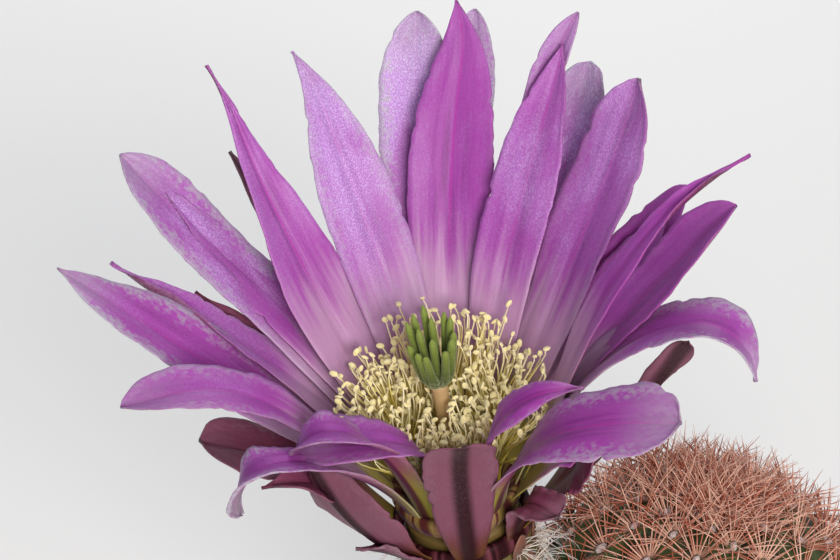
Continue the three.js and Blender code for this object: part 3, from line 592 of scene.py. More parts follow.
# ---------------------------------------------------------------- shaping and finishing

def points_of(piece):
    """A piece's points, one row each."""
    numbers = np.empty(len(piece.data.vertices) * 3)
    piece.data.vertices.foreach_get("co", numbers)
    return numbers.reshape(-1, 3)


def move_points(piece, points):
    """Moves a piece's points to new places, in metres."""
    piece.data.vertices.foreach_set("co", np.asarray(points).ravel())
    piece.data.update()


def mark(piece, name, values):
    """Marks each point of a piece with a number, or with three, that its material reads."""
    values = np.asarray(values, float)
    kind, field = ("FLOAT_VECTOR", "vector") if values.ndim == 2 else ("FLOAT", "value")
    if values.ndim == 0:
        values = np.full(len(piece.data.vertices), float(values))
    layer = piece.data.attributes.get(name) or piece.data.attributes.new(name, kind, "POINT")
    layer.data.foreach_set(field, values.ravel())


def smoothed(value, low, high):
    """The smooth step from 0 at low to 1 at high."""
    share = np.clip((value - low) / (high - low), 0, 1)
    return share * share * (3 - 2 * share)


def unit(vectors):
    """Vectors of length 1 that point the same ways."""
    return vectors / np.linalg.norm(vectors, axis=-1, keepdims=True)


def cubic(t, a, b, c, d):
    """Points of the curve from a to d that b and c pull at."""
    return (1 - t) ** 3 * a + 3 * (1 - t) ** 2 * t * b + 3 * (1 - t) * t * t * c + t ** 3 * d


def round_z(piece):
    """The angle of each of a piece's points round the Z axis, its distance from that axis and its height."""
    points = points_of(piece)
    return np.arctan2(points[:, 1], points[:, 0]), np.hypot(points[:, 0], points[:, 1]), points[:, 2]


def apply(piece, modifier):
    """Makes a modifier's work part of the piece's mesh."""
    bpy.context.view_layer.objects.active = piece
    bpy.ops.object.modifier_apply(modifier=modifier.name)


def join(pieces):
    """One object from several, with all their marks."""
    bpy.ops.object.select_all(action="DESELECT")
    for piece in pieces:
        piece.select_set(True)
    bpy.context.view_layer.objects.active = pieces[0]
    bpy.ops.object.join()
    bpy.ops.object.select_all(action="DESELECT")
    return pieces[0]


def finish(piece, name, material, slot, *nodes):
    """Names a piece, gives it its material and hangs it on the plant's body in place of CAD nodes."""
    piece.name = piece.data.name = name
    piece.data.materials.clear()
    piece.data.materials.append(material)
    piece.data.shade_smooth()
    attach(piece, "root")
    if nodes:
        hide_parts(*nodes)
    piece.select_set(False)


def rod(sides, cuts):
    """A closed rod of radius and length 1 along +Z from the origin, with rings between its ends."""
    bpy.ops.mesh.primitive_cylinder_add(vertices=sides, radius=1, depth=1, location=(0, 0, 0.5))
    piece = bpy.context.object
    bpy.ops.object.transform_apply(location=True)
    bpy.ops.object.mode_set(mode="EDIT")
    bpy.ops.mesh.select_mode(type="EDGE")
    bpy.ops.mesh.select_all(action="DESELECT")
    bpy.ops.object.mode_set(mode="OBJECT")
    heights = points_of(piece)[:, 2]
    for edge in piece.data.edges:
        low, high = (heights[i] for i in edge.vertices)
        edge.select = bool(abs(high - low) > 0.5)
    bpy.ops.object.mode_set(mode="EDIT")
    bpy.ops.mesh.subdivide(number_cuts=cuts)
    bpy.ops.object.mode_set(mode="OBJECT")
    return piece


def swept(pattern, routes, radius_at, tones):
    """A copy of a rod bent along each route, in one mesh.

    A route is four control points in millimetres, and radius_at gives the radius at shares of the way.
    """
    routes = np.asarray(routes, float)
    rod_points = points_of(pattern)
    t = rod_points[:, 2][None, :, None]
    a, b, c, d = (routes[:, i][:, None, :] for i in range(4))
    middle = cubic(t, a, b, c, d)
    tangent = unit(3 * (1 - t) ** 2 * (b - a) + 6 * (1 - t) * t * (c - b) + 3 * t * t * (d - c) + 1e-9)
    side = np.cross(routes[:, 3] - routes[:, 0], routes[:, 1] - routes[:, 2])
    flat = np.linalg.norm(side, axis=1) < 1e-4
    side[flat] = np.cross(routes[flat, 3] - routes[flat, 0], (0.3, 0.5, 0.8))  # any way but the route's own
    side = unit(side)[:, None, :]
    across = unit(side - (side * tangent).sum(-1, keepdims=True) * tangent)
    beside = np.cross(tangent, across)
    radius = radius_at(t[..., 0])[..., None]
    placed = middle + radius * (across * rod_points[None, :, 0:1] + beside * rod_points[None, :, 1:2])
    piece = copied(pattern, placed)
    mark(piece, "along", np.tile(rod_points[:, 2], len(routes)))
    mark(piece, "tone", np.repeat(tones, len(rod_points)))
    return piece


def planted(pattern, matrices, tones=0.5):
    """A copy of a pattern put in place by each matrix, in one mesh."""
    points = points_of(pattern)
    matrices = np.asarray(matrices, float)
    placed = np.einsum("pij,vj->pvi", matrices[:, :, :3], points) + matrices[:, None, :, 3]
    piece = copied(pattern, placed)
    mark(piece, "tone", np.repeat(np.broadcast_to(tones, len(matrices)), len(points)))
    return piece


def copied(pattern, placed):
    """One mesh with the pattern's faces over each set of placed points, in millimetres."""
    copies, count = placed.shape[:2]
    faces = [tuple(face.vertices) for face in pattern.data.polygons]
    all_faces = [tuple(i + k * count for i in face) for k in range(copies) for face in faces]
    mesh = bpy.data.meshes.new("copies")
    mesh.from_pydata((placed * MM).reshape(-1, 3), [], all_faces)
    piece = bpy.data.objects.new("copies", mesh)
    bpy.context.collection.objects.link(piece)
    bpy.data.objects.remove(pattern)
    return piece


def frame_matrix(place, x, y, z):
    """The matrix that lays a pattern's axes along x, y and z at a place."""
    return np.stack([x, y, z, place], axis=1)


def lumpy_ball(depth, lumps):
    """A ball of radius 1 with lumps of a depth, so many of them to its radius."""
    bpy.ops.mesh.primitive_ico_sphere_add(subdivisions=2, radius=1)
    ball = bpy.context.object
    points = points_of(ball)
    swell = np.array([1 + depth * noise.noise(Vector(point) * lumps) for point in points])
    move_points(ball, points * swell[:, None])
    return ball


# ---------------------------------------------------------------- the bloom's own frame

def bloom_axes():
    """The bloom's own axis, its right hand and its back, as unit vectors."""
    level, rise = math.sin(BLOOM_LEAN), math.cos(BLOOM_LEAN)
    axis = np.array([level * math.cos(BLOOM_BEARING), level * math.sin(BLOOM_BEARING), rise])
    right = unit(np.array([1.0, 0, 0]) - axis[0] * axis)
    return axis, right, np.cross(axis, right)


AXIS, RIGHT, BACK = bloom_axes()


def bloom_point(out, azimuth, up):
    """A point "out" from the bloom's axis at an azimuth in radians, "up" above the mouth."""
    out, azimuth, up = np.broadcast_arrays(out, azimuth, up)
    return (BLOOM + (out * np.cos(azimuth))[..., None] * RIGHT + (out * np.sin(azimuth))[..., None] * BACK
            + up[..., None] * AXIS)


# ---------------------------------------------------------------- stem

def stem_radius(height):
    """The stem's radius over its rib crests at a height, before it leans."""
    low = FOOT_RADIUS + (STEM_RADIUS - FOOT_RADIUS) * np.sin(np.pi * height / (2 * SWELL_HEIGHT))
    up = np.clip((height - DOME_START) / DOME_HEIGHT, 0, 1)
    return np.where(height < SWELL_HEIGHT, low, STEM_RADIUS * np.sqrt(1 - up * up))


def stem_point(angle, height, proud=0.0):
    """A point of the skin, standing proud of it, with rib crests at whole shares of a turn."""
    angle, height, proud = np.broadcast_arrays(np.asarray(angle, float), height, proud)
    above = np.maximum(height - BEND_START, 0)
    lean = above / BEND_RADIUS
    fade = smoothed(STEM_HEIGHT - height, *RIB_FADE)
    furrow = RIB_DEPTH * fade * (1 - np.cos(RIBS * angle)) / 2
    radius = np.maximum(stem_radius(height) - furrow + proud, 0)
    return np.stack([
        above ** 2 / (2 * BEND_RADIUS) + radius * np.cos(angle) * np.cos(lean),
        radius * np.sin(angle),
        height - radius * np.cos(angle) * np.sin(lean),
    ], axis=-1)


def dome_height(radius):
    """The height of the crown's dome at a distance from its middle."""
    return DOME_START + DOME_HEIGHT * math.sqrt(1 - (radius / STEM_RADIUS) ** 2)


def skin_axes(angle, height):
    """The ways out of the skin, up it and across it at one place, as unit vectors."""
    nudge = 1e-3
    turned = stem_point(angle + nudge, height) - stem_point(angle - nudge, height)
    up = unit(stem_point(angle, height + nudge) - stem_point(angle, height - nudge))
    out = unit(np.cross(turned, up))
    return out, up, np.cross(up, out)


def tube_curve(along):
    """Points of the tube's middle line, from inside the stem to its shoulder."""
    bend = BLOOM - (TUBE_STRAIGHT + SHOULDER_DROP) * AXIS
    top = BLOOM - SHOULDER_DROP * AXIS
    t = np.asarray(along, float)[..., None]
    return (1 - t) ** 2 * TUBE_ROOT + 2 * (1 - t) * t * bend + t ** 2 * top


TUBE_LINE = tube_curve(np.linspace(0, 1, 11))


def clear_of_bloom(point):
    """Whether a point lies outside the room that the flower's tube and lowest tepals take."""
    offset = point - BLOOM
    up = offset @ AXIS
    out = np.linalg.norm(offset - up * AXIS)
    near_bloom = up > -TUBE_STRAIGHT and out < BLOOM_ROOM + BLOOM_ROOM_FLARE * max(up, 0)
    near_tube = np.linalg.norm(TUBE_LINE - point, axis=1).min() < TUBE_ROOM
    return not near_bloom and not near_tube


def make_stem_skin():
    """The rind: a ball drawn out over the ribs and the crown, and flat under the foot."""
    bpy.ops.mesh.primitive_uv_sphere_add(segments=16 * RIBS, ring_count=96, radius=1)
    piece = bpy.context.object
    points = points_of(piece)
    angle = np.arctan2(points[:, 1], points[:, 0])
    polar = np.arccos(np.clip(points[:, 2], -1, 1)) / np.pi  # 0 at the growing tip, 1 under the foot
    dome_end, foot = 0.35, 0.9  # the rings' shares that end the dome and the flanks
    rise = np.where(polar < dome_end, DOME_START + DOME_HEIGHT * np.cos(np.pi / 2 * polar / dome_end),
                    DOME_START * (1 - (polar - dome_end) / (foot - dome_end)))
    height = np.clip(rise, 0, STEM_HEIGHT)
    crest = (1 + np.cos(RIBS * angle)) / 2
    bulge = AREOLE_BULGE * crest * np.cos(2 * np.pi * height / AREOLE_SPACING)
    wander = SKIN_WANDER * np.array([noise.noise(Vector(point) * SKIN_LUMPS) for point in points])
    proud = (bulge + wander) * smoothed(height, 0.5, 4) * smoothed(STEM_HEIGHT - height, 0, 5)
    placed = stem_point(angle, height, proud)
    under = polar > foot
    inward = (1 - polar[under]) / (1 - foot)
    placed[under] = stem_point(angle[under], np.zeros(under.sum())) * inward[:, None]
    from_tip = np.hypot(placed[:, 0] - placed[polar.argmin(), 0], placed[:, 1])
    placed[:, 2] -= np.where(polar < dome_end, DIMPLE * np.exp(-(from_tip / DIMPLE_RADIUS) ** 2), 0)
    move_points(piece, placed * MM)
    # The crest mark drives the painted shade between the ribs in the rind's colour
    mark(piece, "crest", crest)
    finish(piece, "stem_skin", stem_rind(), "stem", "stem")


def areole_places():
    """Where the areoles sit: the middle, axes and share of the way to the crown of each."""
    places = []
    for rib in range(RIBS):
        angle = 2 * math.pi * rib / RIBS
        height = AREOLE_FIRST + (rib % 2) * 0.5 * AREOLE_SPACING
        while height < STEM_HEIGHT and stem_radius(height) > CROWN_RADIUS:
            out, up, across = skin_axes(angle, height)
            to_crown = float(smoothed(height, DOME_START, STEM_HEIGHT))
            places.append((stem_point(angle, height, AREOLE_LIFT), out, up, across, to_crown))
            height += AREOLE_SPACING * max(up[2], 0.28)
    for radius, count in CROWN_RINGS:
        for k in range(count):
            angle = 2 * math.pi * (k + 0.5 * radius) / count
            height = dome_height(radius)
            places.append((stem_point(angle, height), *skin_axes(angle, height), 1.0))
    return [place for place in places if clear_of_bloom(place[0])]


def make_spines(areoles):
    """Comb-like stars of spines, flat to the skin on the flanks and upright round the crown."""
    rng = random.Random(5)
    horn = spine_horn("spine_horn", "#cfa08a", "#b2624a", "#8a3e2a", "#ecc0ac", "#5a2216")
    for name, low, high in (("flank_spines", -1, 0.5), ("crown_spines", 0.5, 2)):
        routes, tones, thick = [], [], []
        for middle, out, up, across, to_crown in areoles:
            if not low <= to_crown < high:
                continue
            turn = rng.random()
            painted_top_light_and_jitter = rng.uniform(-0.12, 0.12) + 1.05 * (to_crown - 0.62)  # painted light: paler towards the lit crown and darker on the shaded flanks, around a random tone
            for k in range(RADIAL_SPINES):
                angle = 2 * math.pi * (k + turn + rng.uniform(-0.25, 0.25)) / RADIAL_SPINES
                aside, ahead = math.cos(angle), math.sin(angle)
                way = unit(across * aside + 0.85 * up * ahead)
                rise = math.radians(SPINE_RISE + CROWN_RISE * to_crown + rng.gauss(0, 6 + 5 * to_crown))
                if k % CENTRAL_EVERY == 0:
                    rise += math.radians(CENTRAL_RISE)
                length = (SPINE + (CROWN_SPINE - SPINE) * to_crown) * rng.uniform(0.8, 1.08)
                # It starts inside the wool, at the areole's edge, and bows a little on its way
                start = middle + 0.5 * across * aside + 0.9 * up * ahead - 0.35 * out
                reach = (way * math.cos(rise) + out * math.sin(rise)) * length
                droop = rng.uniform(-0.12, 0.06) * length
                tip = start + reach
                if tip[2] < GROUND_GAP or not clear_of_bloom(tip):
                    continue
                lower, upper = start + 0.35 * reach + 0.3 * out, start + 0.7 * reach - droop * out
                routes.append((start, lower, upper, tip))
                tones.append(rng.random() + painted_top_light_and_jitter)
                thick.append(SPINE_RADIUS * rng.uniform(0.8, 1.2))
        thick = np.array(thick)[:, None]
        piece = swept(rod(4, 2), routes, lambda t: thick * (1.02 - t) ** 0.8 + 0.012, tones)
        finish(piece, name, horn, "stem")


def make_wool(areoles):
    """A felted white cushion in each areole, and pinkish tufts at the growing tip."""
    rng = random.Random(9)
    width, length, depth = AREOLE_WOOL
    cushion = lumpy_ball(0.35, 2.2)
    places = []
    for middle, out, up, across, _ in areoles:
        size = rng.uniform(0.85, 1.1)
        places.append(frame_matrix(middle + 0.05 * out, across * width * size, up * length * size,
                                   out * depth * size))
    felt_white = felt("areole_felt", "#e6d6d4", "#a08a88", 0.5)
    finish(planted(cushion, places), "areole_wool", felt_white, "stem")

    tuft = lumpy_ball(0.5, 2.6)
    places = []
    for k in range(CROWN_TUFTS):
        radius = CROWN_TUFTS_RADIUS * math.sqrt((k + 0.5) / CROWN_TUFTS)
        place = stem_point(k * GOLDEN, dome_height(radius)) - 0.2 * Z
        places.append(frame_matrix(place, *(rng.uniform(0.8, 1.25) * np.eye(3))))
    felt_pink = felt("crown_felt", "#e8bfae", "#a86a58", 0.6)
    finish(planted(tuft, places), "crown_wool", felt_pink, "stem")


# ---------------------------------------------------------------- flower's tube

def tube_radius(share):
    """The tube's radius at a share of the way to its shoulder."""
    return TUBE_ROOT_RADIUS + (SHOULDER_RADIUS - TUBE_ROOT_RADIUS) * share ** 2


def make_tube():
    """The flower's tube: a fluted rod up the middle line to its shoulder, and on to its mouth."""
    pattern = rod(72, 40)
    angle, out_share, along = round_z(pattern)
    share = np.minimum(along / SHOULDER_SHARE, 1)
    beyond = np.maximum(along - SHOULDER_SHARE, 0) / (1 - SHOULDER_SHARE)
    middle = tube_curve(share) + beyond[:, None] * SHOULDER_DROP * AXIS
    near = np.minimum(share + 0.01, 1)
    ahead = unit(tube_curve(near) - tube_curve(near - 0.02))
    right = unit(RIGHT - (ahead @ RIGHT)[:, None] * ahead)
    beside = np.cross(ahead, right)
    radius = np.where(along > SHOULDER_SHARE + 0.005, MOUTH_RADIUS, tube_radius(share))
    radius = radius + TUBE_FLUTE_DEPTH * np.cos(TUBE_FLUTES * angle) * (along < SHOULDER_SHARE)
    placed = middle + (radius * out_share)[:, None] * (
        np.cos(angle)[:, None] * right + np.sin(angle)[:, None] * beside)
    move_points(pattern, placed * MM)
    mark(pattern, "along", along)
    finish(pattern, "tube_skin", tube_rind(), "floral_tube", "floral_tube")


def tube_scale_places():
    """Feet of the tube's scales, in a rising spiral on the sides that the stem leaves open."""
    places = []
    first, span = TUBE_SCALE_SPAN
    for k in range(TUBE_SCALES):
        along = first + span * k / (TUBE_SCALES - 1)
        ahead = unit(tube_curve(min(along + 0.01, 1)) - tube_curve(min(along, 0.99)))
        right = unit(RIGHT - (RIGHT @ ahead) * ahead)
        angle = k * GOLDEN
        out = right * math.cos(angle) + np.cross(ahead, right) * math.sin(angle)
        foot = tube_curve(along) + out * tube_radius(along)
        bend = max(foot[2] - BEND_START, 0) ** 2 / (2 * BEND_RADIUS)
        if math.hypot(foot[0] - bend, foot[1]) > STEM_RADIUS + 1:
            places.append((foot, out, ahead, np.cross(ahead, out)))
    return places


def make_tube_scales():
    """Small fleshy scales up the tube, with bristles and cobweb hairs in their axils."""
    rng = random.Random(13)
    places = tube_scale_places()

    bpy.ops.mesh.primitive_uv_sphere_add(segments=12, ring_count=8, radius=1)
    pattern = bpy.context.object
    # The pattern is a thin leaf, blunt at both ends, that curls outwards to its tip
    points = points_of(pattern)
    along = (points[:, 2] + 1) / 2
    points[:, 0] *= np.sin(np.pi * along ** 0.7) ** 0.3
    points[:, 1] = points[:, 1] * 0.25 + 0.5 * along ** 2
    move_points(pattern, points)
    width, lift, length = TUBE_SCALE
    matrices = []
    for foot, out, up, across in places:
        size = rng.uniform(0.85, 1.2)
        matrices.append(frame_matrix(foot + 0.9 * up, across * width * size, out * lift * size,
                                     up * length * size))
    piece = planted(pattern, matrices, [0.4 * rng.random() for _ in matrices])
    mark(piece, "along", np.tile(along, len(matrices)))
    flesh = soft_tissue("scale_flesh", "#4a4a24", "#5e3a2c", "#744438")
    finish(piece, "tube_scales", flesh, "floral_tube")

    bristles, hairs = [], []
    for foot, out, up, across in places:
        for _ in range(SCALE_BRISTLES):
            way = unit(out * rng.uniform(0.3, 1) + up * rng.uniform(-0.2, 0.9)
                       + across * rng.uniform(-0.9, 0.9))
            reach = rng.uniform(*BRISTLE)
            start = foot + 0.6 * up - 0.2 * out
            bristles.append([start + way * reach * share for share in (0, 0.3, 0.7, 1)])
        for _ in range(SCALE_HAIRS):
            way = unit(out * rng.uniform(0.1, 1) + up * rng.uniform(-0.8, 0.6) + across * rng.uniform(-1, 1))
            reach = rng.uniform(*HAIR)
            curl = np.array([rng.uniform(-1, 1) for _ in range(6)]) * reach * 0.35
            start = foot + 0.5 * up - 0.2 * out
            hairs.append((start, start + way * reach * 0.4 + curl[:3], start + way * reach * 0.8 + curl[3:],
                          start + way * reach + 0.4 * curl[:3] - 0.8 * Z))
    bristles, hairs = (
        [route for route in routes if (route[3] - BLOOM) @ AXIS < -BARE_RIM] for routes in (bristles, hairs))
    horn = spine_horn("bristle_horn", "#e8dccc", "#d8c4b4", "#a8705c", "#f4ece2", "#9c6a58")
    piece = swept(rod(4, 2), bristles, lambda t: BRISTLE_RADIUS * (1.03 - t) ** 0.7,
                  [rng.random() for _ in bristles])
    finish(piece, "tube_bristles", horn, "floral_tube")
    cobweb = soft_tissue("cobweb_hair", "#b9b2a6", "#d2ccc2", "#e4e0d8", 0.6)
    piece = swept(rod(3, 7), hairs, lambda t: HAIR_RADIUS * (1.1 - t) ** 0.4, [rng.random() for _ in hairs])
    finish(piece, "tube_hairs", cobweb, "floral_tube")


# ---------------------------------------------------------------- tepals

def outline_share(along, tip):
    """Half width along a tepal as a share of its greatest: a narrow claw, a broad blade and a closing tip."""
    widest, blunt, close = TIPS[tip]
    rise = CLAW_WIDTH + (1 - CLAW_WIDTH) * np.sin(np.pi * np.clip(along / widest, 0, 1) / 2) ** 1.3
    fall = (1 - np.clip((along - widest) / (1 - widest), 0, 1) ** blunt) ** close
    return np.where(along < widest, rise, fall)


def frayed(along, length, rng):
    """How far a margin is eaten back at each share of the way: shallow scallops with a few small tears."""
    knots = max(int(length / SCALLOP), 4)
    depths = [rng.uniform(0, SCALLOP_DEPTH) for _ in range(knots)]
    for _ in range(TEARS):
        depths[rng.randrange(knots // 2, knots)] += rng.uniform(*TEAR_DEPTH)
    return np.interp(along, np.linspace(0, 1, knots), depths) * smoothed(along, 0.3, 0.6)


def slope(degrees):
    """The way out from the bloom's axis and up it, at an angle to it."""
    return np.array([math.sin(math.radians(degrees)), math.cos(math.radians(degrees))])


def tepal(row, root, rng):
    """One flower leaf: a grid drawn over the curved, folded and frayed blade, then given its thickness."""
    row = {**USUAL_TEPAL, **row}
    cells, steps = TEPAL_GRID
    bpy.ops.mesh.primitive_grid_add(x_subdivisions=cells, y_subdivisions=steps, size=1)
    piece = bpy.context.object
    grid = points_of(piece)
    across, along = -2 * grid[:, 0], grid[:, 1] + 0.5

    start, end = np.array(root), np.array([row["reach"], row["rise"]])
    first = start + slope(row["leave"]) * row["root_pull"]
    second = end - slope(row["arrive"]) * row["tip_pull"]

    def midrib(t):
        """Points of the midrib at shares of its length, and their distances from the bloom's axis."""
        line = cubic(t[:, None], start, first, second, end)
        azimuth = np.radians(row["start"] + (row["at"] - row["start"]) * t ** row["sway"])
        return bloom_point(line[:, 0], azimuth, line[:, 1]), line[:, 0]

    # The sideways direction is carried along the midrib row by row, and then twisted
    rows = np.linspace(0, 1, steps + 1)
    tangents = unit(midrib(np.minimum(rows + 0.001, 1))[0] - midrib(np.maximum(rows - 0.001, 0))[0])
    carried = [bloom_point(1.0, math.radians(row["start"]) + np.pi / 2, 0.0) - BLOOM]
    for tangent in tangents:
        carried.append(unit(carried[-1] - (carried[-1] @ tangent) * tangent))
    at_row = np.rint(along * steps).astype(int)
    middle, out = midrib(along)
    tangent = tangents[at_row]
    sideways = np.array(carried[1:])[at_row]
    inward = np.cross(tangent, sideways)
    roll = np.radians(-row["twist"]) * along ** row["late"]
    sideways = sideways * np.cos(roll)[:, None] - inward * np.sin(roll)[:, None]
    inward = np.cross(tangent, sideways)
    hooked = row["hook"] * np.clip((along - HOOK_START) / (1 - HOOK_START), 0, 1) ** 2
    middle = middle + hooked[:, None] * sideways

    length = np.linalg.norm(np.diff(midrib(np.linspace(0, 1, 50))[0], axis=0), axis=1).sum()
    half = row["width"] / 2 * outline_share(along, row["tip"])
    torn = np.where(across < 0, frayed(along, length, rng), frayed(along, length, rng))
    half = np.maximum(half * (1 - torn * np.abs(across) ** 4), TIP_WIDTH)
    arc = half / out + (math.radians(row["fold"]) - half / out) * smoothed(along, 0.25, 0.8)
    arc = np.where(np.abs(arc) < 1e-3, 1e-3, arc)

    # Up from the blade: margins that wave and ripple, a sunk midrib and faint pleats
    turn = 2 * np.pi
    phase = row["at"] / 47  # no two tepals alike
    wave = row["wave"] * across ** 2 * along * np.sin(turn * (2.4 * along + phase))
    ripple = RIPPLE * np.abs(across) ** 3 * along * np.sin(turn * (9 * along + 2 * phase + 0.3 * across))
    keel = -MIDRIB_DEPTH * np.exp(-(across * half / MIDRIB_WIDTH) ** 2) * smoothed(along, 0.05, 0.3)
    pleat = PLEAT_DEPTH * np.cos(turn * 2.2 * across + phase) * smoothed(along, 0.1, 0.5)
    lift = half * (1 - np.cos(arc * across)) / arc + wave + ripple + keel + pleat
    placed = middle + (half * np.sin(arc * across) / arc)[:, None] * sideways + lift[:, None] * inward
    move_points(piece, placed * MM)

    body = piece.vertex_groups.new(name="body")
    for index, share in enumerate(1 - np.maximum(np.abs(across), smoothed(along, 0.8, 1.0)) ** 2):
        body.add([index], float(share), "REPLACE")
    wall = piece.modifiers.new("wall", "SOLIDIFY")
    wall.thickness = TEPAL_THICKNESS * MM
    wall.offset = 0
    wall.vertex_group = "body"
    wall.thickness_vertex_group = TEPAL_EDGE
    apply(piece, wall)
    piece.vertex_groups.clear()
    own = np.full(len(along), 100 * rng.random())  # a place of its own in the patterns
    mark(piece, "under", np.repeat([0.0, 1.0], len(along)))
    mark(piece, "along", np.tile(along, 2))
    mark(piece, "aside", np.tile(np.abs(across), 2))
    mark(piece, "lie", np.tile(np.stack([across * half, along * length, own], axis=1), (2, 1)))
    mark(piece, "pale", row["pale"])
    mark(piece, "painted_sheen_strength", row["painted_sheen_strength"])
    return piece


def collar(inside, outside, low, high, flare):
    """The ring that a whorl of tepals grows from, wider by "flare" at its top.

    It carries the marks of a claw's foot.
    """
    between = (inside + outside) / 2
    bpy.ops.mesh.primitive_torus_add(
        major_segments=64, minor_segments=10, major_radius=between, minor_radius=1)
    piece = bpy.context.object
    angle, distance, height = round_z(piece)
    lifted = (1 + height) / 2
    out = between + (distance - between) * (outside - inside) / 2 + flare * lifted
    move_points(piece, bloom_point(out, angle, low + (high - low) * lifted) * MM)
    for name, value in (("along", 0.17), ("aside", 0.0), ("pale", 0.0), ("painted_sheen_strength", 0.0), ("under", 1.0)):
        mark(piece, name, value)
    across = (angle * outside) % CLAW_SPACING - CLAW_SPACING / 2
    level = np.zeros(len(angle))
    mark(piece, "lie", np.stack([across, level, level], axis=1))
    return piece


# Petals are pink-violet inside; sepals are duller and redder. The inner face's colours are those of the claw,
# throat, blade, veins and midrib, and the outer face's those of the claw, throat, blade and stripe. The spans
# are shares of a tepal's length, and the stripe is half its width in millimetres, from nothing to full.
PETAL = dict(
    inner=("#b4a850", "#b488ae", "#9c3c9c", "#7a2478", "#a62c98"),
    outer=("#958c36", "#803a50", "#7c2a62", "#4a0620"),
    throat_span=(0.1, 0.28), blade_span=(0.34, 0.54), stripe=(1.1, 0.3),
    # painted light: the first colour here is the painted sheen's, also the real sheen's tint, and the second
    # the painted glints'
    painted_sheen="#bf9ae2", painted_glint_hue="#ece0ff", bleached="#a29caa", gloss=0.22, sheen=0.12, glow=0.15,
)
SEPAL = dict(
    inner=("#8a7a30", "#7c4848", "#763652", "#561c36", "#52142a"),
    outer=("#5a3218", "#5a2a30", "#6e4052", "#1c0206"),
    throat_span=(0.02, 0.16), blade_span=(0.12, 0.4), stripe=(1.6, 0.4),
    # painted light: the first colour here is the painted sheen's, also the real sheen's tint, and the second
    # the painted glints'
    painted_sheen="#8a5e78", painted_glint_hue="#c0a4b4", bleached="#8e7a84", gloss=0.08, sheen=0.0, glow=0.0,
)


def make_tepals():
    """Both whorls, each joined to the collar that it grows from."""
    rng = random.Random(17)
    blades = []
    for row in INNER_TEPALS:
        layer = row["layer"]
        root = (INNER_ROOT[0] + LAYER_STEP * layer, INNER_ROOT[1])
        blades.append(tepal({**row, "leave": row["leave"] + LAYER_LEAN * layer}, root, rng))
    piece = join([*blades, collar(**INNER_COLLAR)])
    finish(piece, "petals", petal_skin("petal_silk", PETAL), "inner_tepals", "inner_tepals")
    blades = [tepal(row, OUTER_ROOT, rng) for row in OUTER_TEPALS]
    piece = join([*blades, collar(**OUTER_COLLAR)])
    finish(piece, "outer_petals", petal_skin("sepal_silk", SEPAL), "outer_tepals", "outer_tepals")


# ---------------------------------------------------------------- stamens, style and stigma

def funnel_radius(share):
    """The funnel's radius at a share of its height."""
    return FUNNEL_FOOT_RADIUS + (FUNNEL_RADIUS - FUNNEL_FOOT_RADIUS) * share


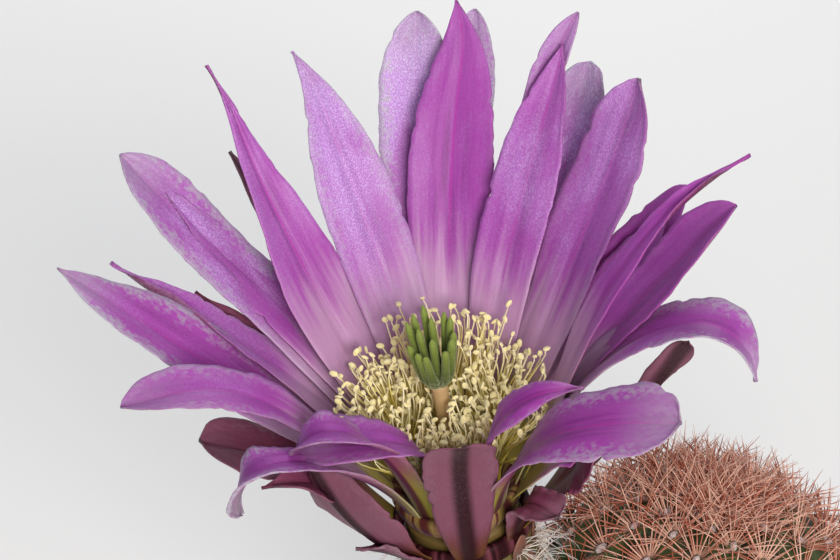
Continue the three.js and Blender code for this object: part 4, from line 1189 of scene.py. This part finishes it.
def make_stamens():
    """A funnel of filaments grown together, the free ends that rise from it and their anthers."""
    rng = random.Random(23)
    pattern = rod(96, 24)
    angle, share, t = round_z(pattern)
    ridge = FUNNEL_RIDGE_DEPTH * np.cos(FUNNEL_RIDGES * angle) * smoothed(t, 0.1, 0.5)
    radius = funnel_radius(t) * share + ridge * share
    move_points(pattern, bloom_point(radius, angle, FUNNEL_FOOT + (FUNNEL_HEIGHT - FUNNEL_FOOT) * t) * MM)
    mark(pattern, "along", t)
    mark(pattern, "tone", 0.0)
    flesh = soft_tissue("funnel_flesh", "#98982e", "#c4ac38", "#d2b64c")
    finish(pattern, "filament_funnel", flesh, "stamens", "stamens")

    routes, heads, tones = [], [], []
    for i in range(STAMENS):
        azimuth = i * GOLDEN + 0.15 * rng.uniform(-1, 1)
        back = math.sin(azimuth)
        if back < FRONT and i % 3 == 0:
            continue
        start = 0.35 + 0.62 * rng.random()  # share of the funnel's height that it leaves it at
        root_out = funnel_radius(start) - 0.2
        root_up = FUNNEL_FOOT + FUNNEL_HEIGHT * start
        spread = rng.random() ** 0.62  # 0 for the innermost, 1 for the outermost
        reach = ANTHER_REACH + ANTHER_BACK_REACH * float(smoothed(back, -0.75, -0.1))
        end_out = ANTHER_INNERMOST + reach * spread
        end_up = ANTHER_HEIGHT + (ANTHER_RISE + ANTHER_BACK_RISE * back) * spread + rng.gauss(0, 1.3)
        foot = bloom_point(root_out, azimuth, root_up)
        end = bloom_point(end_out, azimuth + 0.35 * rng.uniform(-1, 1), end_up)
        sway = np.array([rng.gauss(0, 0.9) for _ in range(3)])
        lower = bloom_point(root_out + 0.5, azimuth, root_up + (end_up - root_up) * 0.5)
        outward = (end - bloom_point(0.0, 0.0, end_up)) / max(end_out, 1)
        upper = end - 2.4 * AXIS + sway + 0.8 * spread * outward
        routes.append((foot, lower, upper, end))
        heads.append((end, unit(end - upper)))
        tones.append(rng.random())
    piece = swept(rod(5, 7), routes, lambda t: FILAMENT_RADIUS * (1.3 - 0.6 * t), tones)
    flesh = soft_tissue("filament_flesh", "#c0a834", "#e8d468", "#faecb8", 0.4)
    finish(piece, "filaments", flesh, "stamens")

    # An anther is two lobes side by side, with a groove between them
    bpy.ops.mesh.primitive_uv_sphere_add(segments=8, ring_count=6, radius=1)
    pattern = bpy.context.object
    points = points_of(pattern)
    points[:, 0] *= 1 + 0.3 * np.abs(points[:, 0])
    points[:, 1] *= 1 - 0.3 * np.exp(-(points[:, 0] / 0.3) ** 2)
    move_points(pattern, points)
    width, thickness, length = ANTHER
    matrices = []
    for end, way in heads:
        way = unit(0.4 * way + np.array([rng.gauss(0, 1) for _ in range(3)]))
        side = unit(np.cross(way, [rng.gauss(0, 1) for _ in range(3)]))
        size = rng.uniform(0.85, 1.15)
        matrices.append(frame_matrix(end + 0.15 * way, side * width * size,
                                     np.cross(way, side) * thickness * size, way * length * size))
    piece = planted(pattern, matrices, tones)
    mark(piece, "along", 1.0)
    finish(piece, "anthers", felt("pollen", "#fff6c4", "#fae69a", 0.25), "stamens")


def make_style():
    """The pale, faintly fluted column that carries the stigma."""
    pattern = rod(24, 16)
    angle, share, t = round_z(pattern)
    radius = STYLE_RADIUS * (1 + 0.12 * smoothed(t, 0.85, 1.0) + 0.03 * np.cos(8 * angle)) * share
    move_points(pattern, bloom_point(radius, angle, STYLE_FOOT + (STYLE_TOP - STYLE_FOOT) * t) * MM)
    mark(pattern, "along", t)
    mark(pattern, "tone", 0.0)
    flesh = soft_tissue("style_flesh", "#b8a860", "#c2a268", "#b89a70", 0.4)
    finish(pattern, "style_column", flesh, "style", "style")


def make_stigma():
    """A cup of thick lobes, green and velvety with short papillae; one in four stands nearer the middle."""
    rng = random.Random(31)
    foot = STYLE_TOP + 0.1
    routes = []
    for k in range(STIGMA_LOBES):
        azimuth = 2 * math.pi * (k + rng.uniform(-0.12, 0.12)) / STIGMA_LOBES
        splay = 0.45 if k % 4 == 3 else 1.0
        top = STIGMA_TOP + STIGMA_TILT * splay * math.sin(azimuth) + rng.uniform(-0.4, 0.4)
        routes.append([bloom_point(out * splay, azimuth, up) for out, up in (
            (0.7, foot - 0.2), (2.1, foot + 0.6), (STIGMA_RADIUS, foot + 4), (STIGMA_RADIUS + 0.7, top))])
    # A lobe is thickest near its foot and closes to a round tip
    shares, swell = (0, 0.2, 0.5, 0.9, 0.97, 1), (1.2, 1.3, 1.05, 0.92, 0.75, 0.25)
    piece = swept(rod(12, 14), routes, lambda t: STIGMA_LOBE_RADIUS * np.interp(t, shares, swell),
                  [rng.random() * 0.4 for _ in routes])
    finish(piece, "stigma_lobes", stigma_velvet(), "stigma", "stigma")


# ---------------------------------------------------------------- the plant

def main():
    make_studio()
    areoles = areole_places()
    make_stem_skin()
    make_spines(areoles)
    make_wool(areoles)
    make_tube()
    make_tube_scales()
    make_tepals()
    make_stamens()
    make_style()
    make_stigma()


main()
boxes = {"cad": CAD_BOX, "visual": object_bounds()}
{name: [list(map(float, corner)) for corner in box] for name, box in boxes.items()}
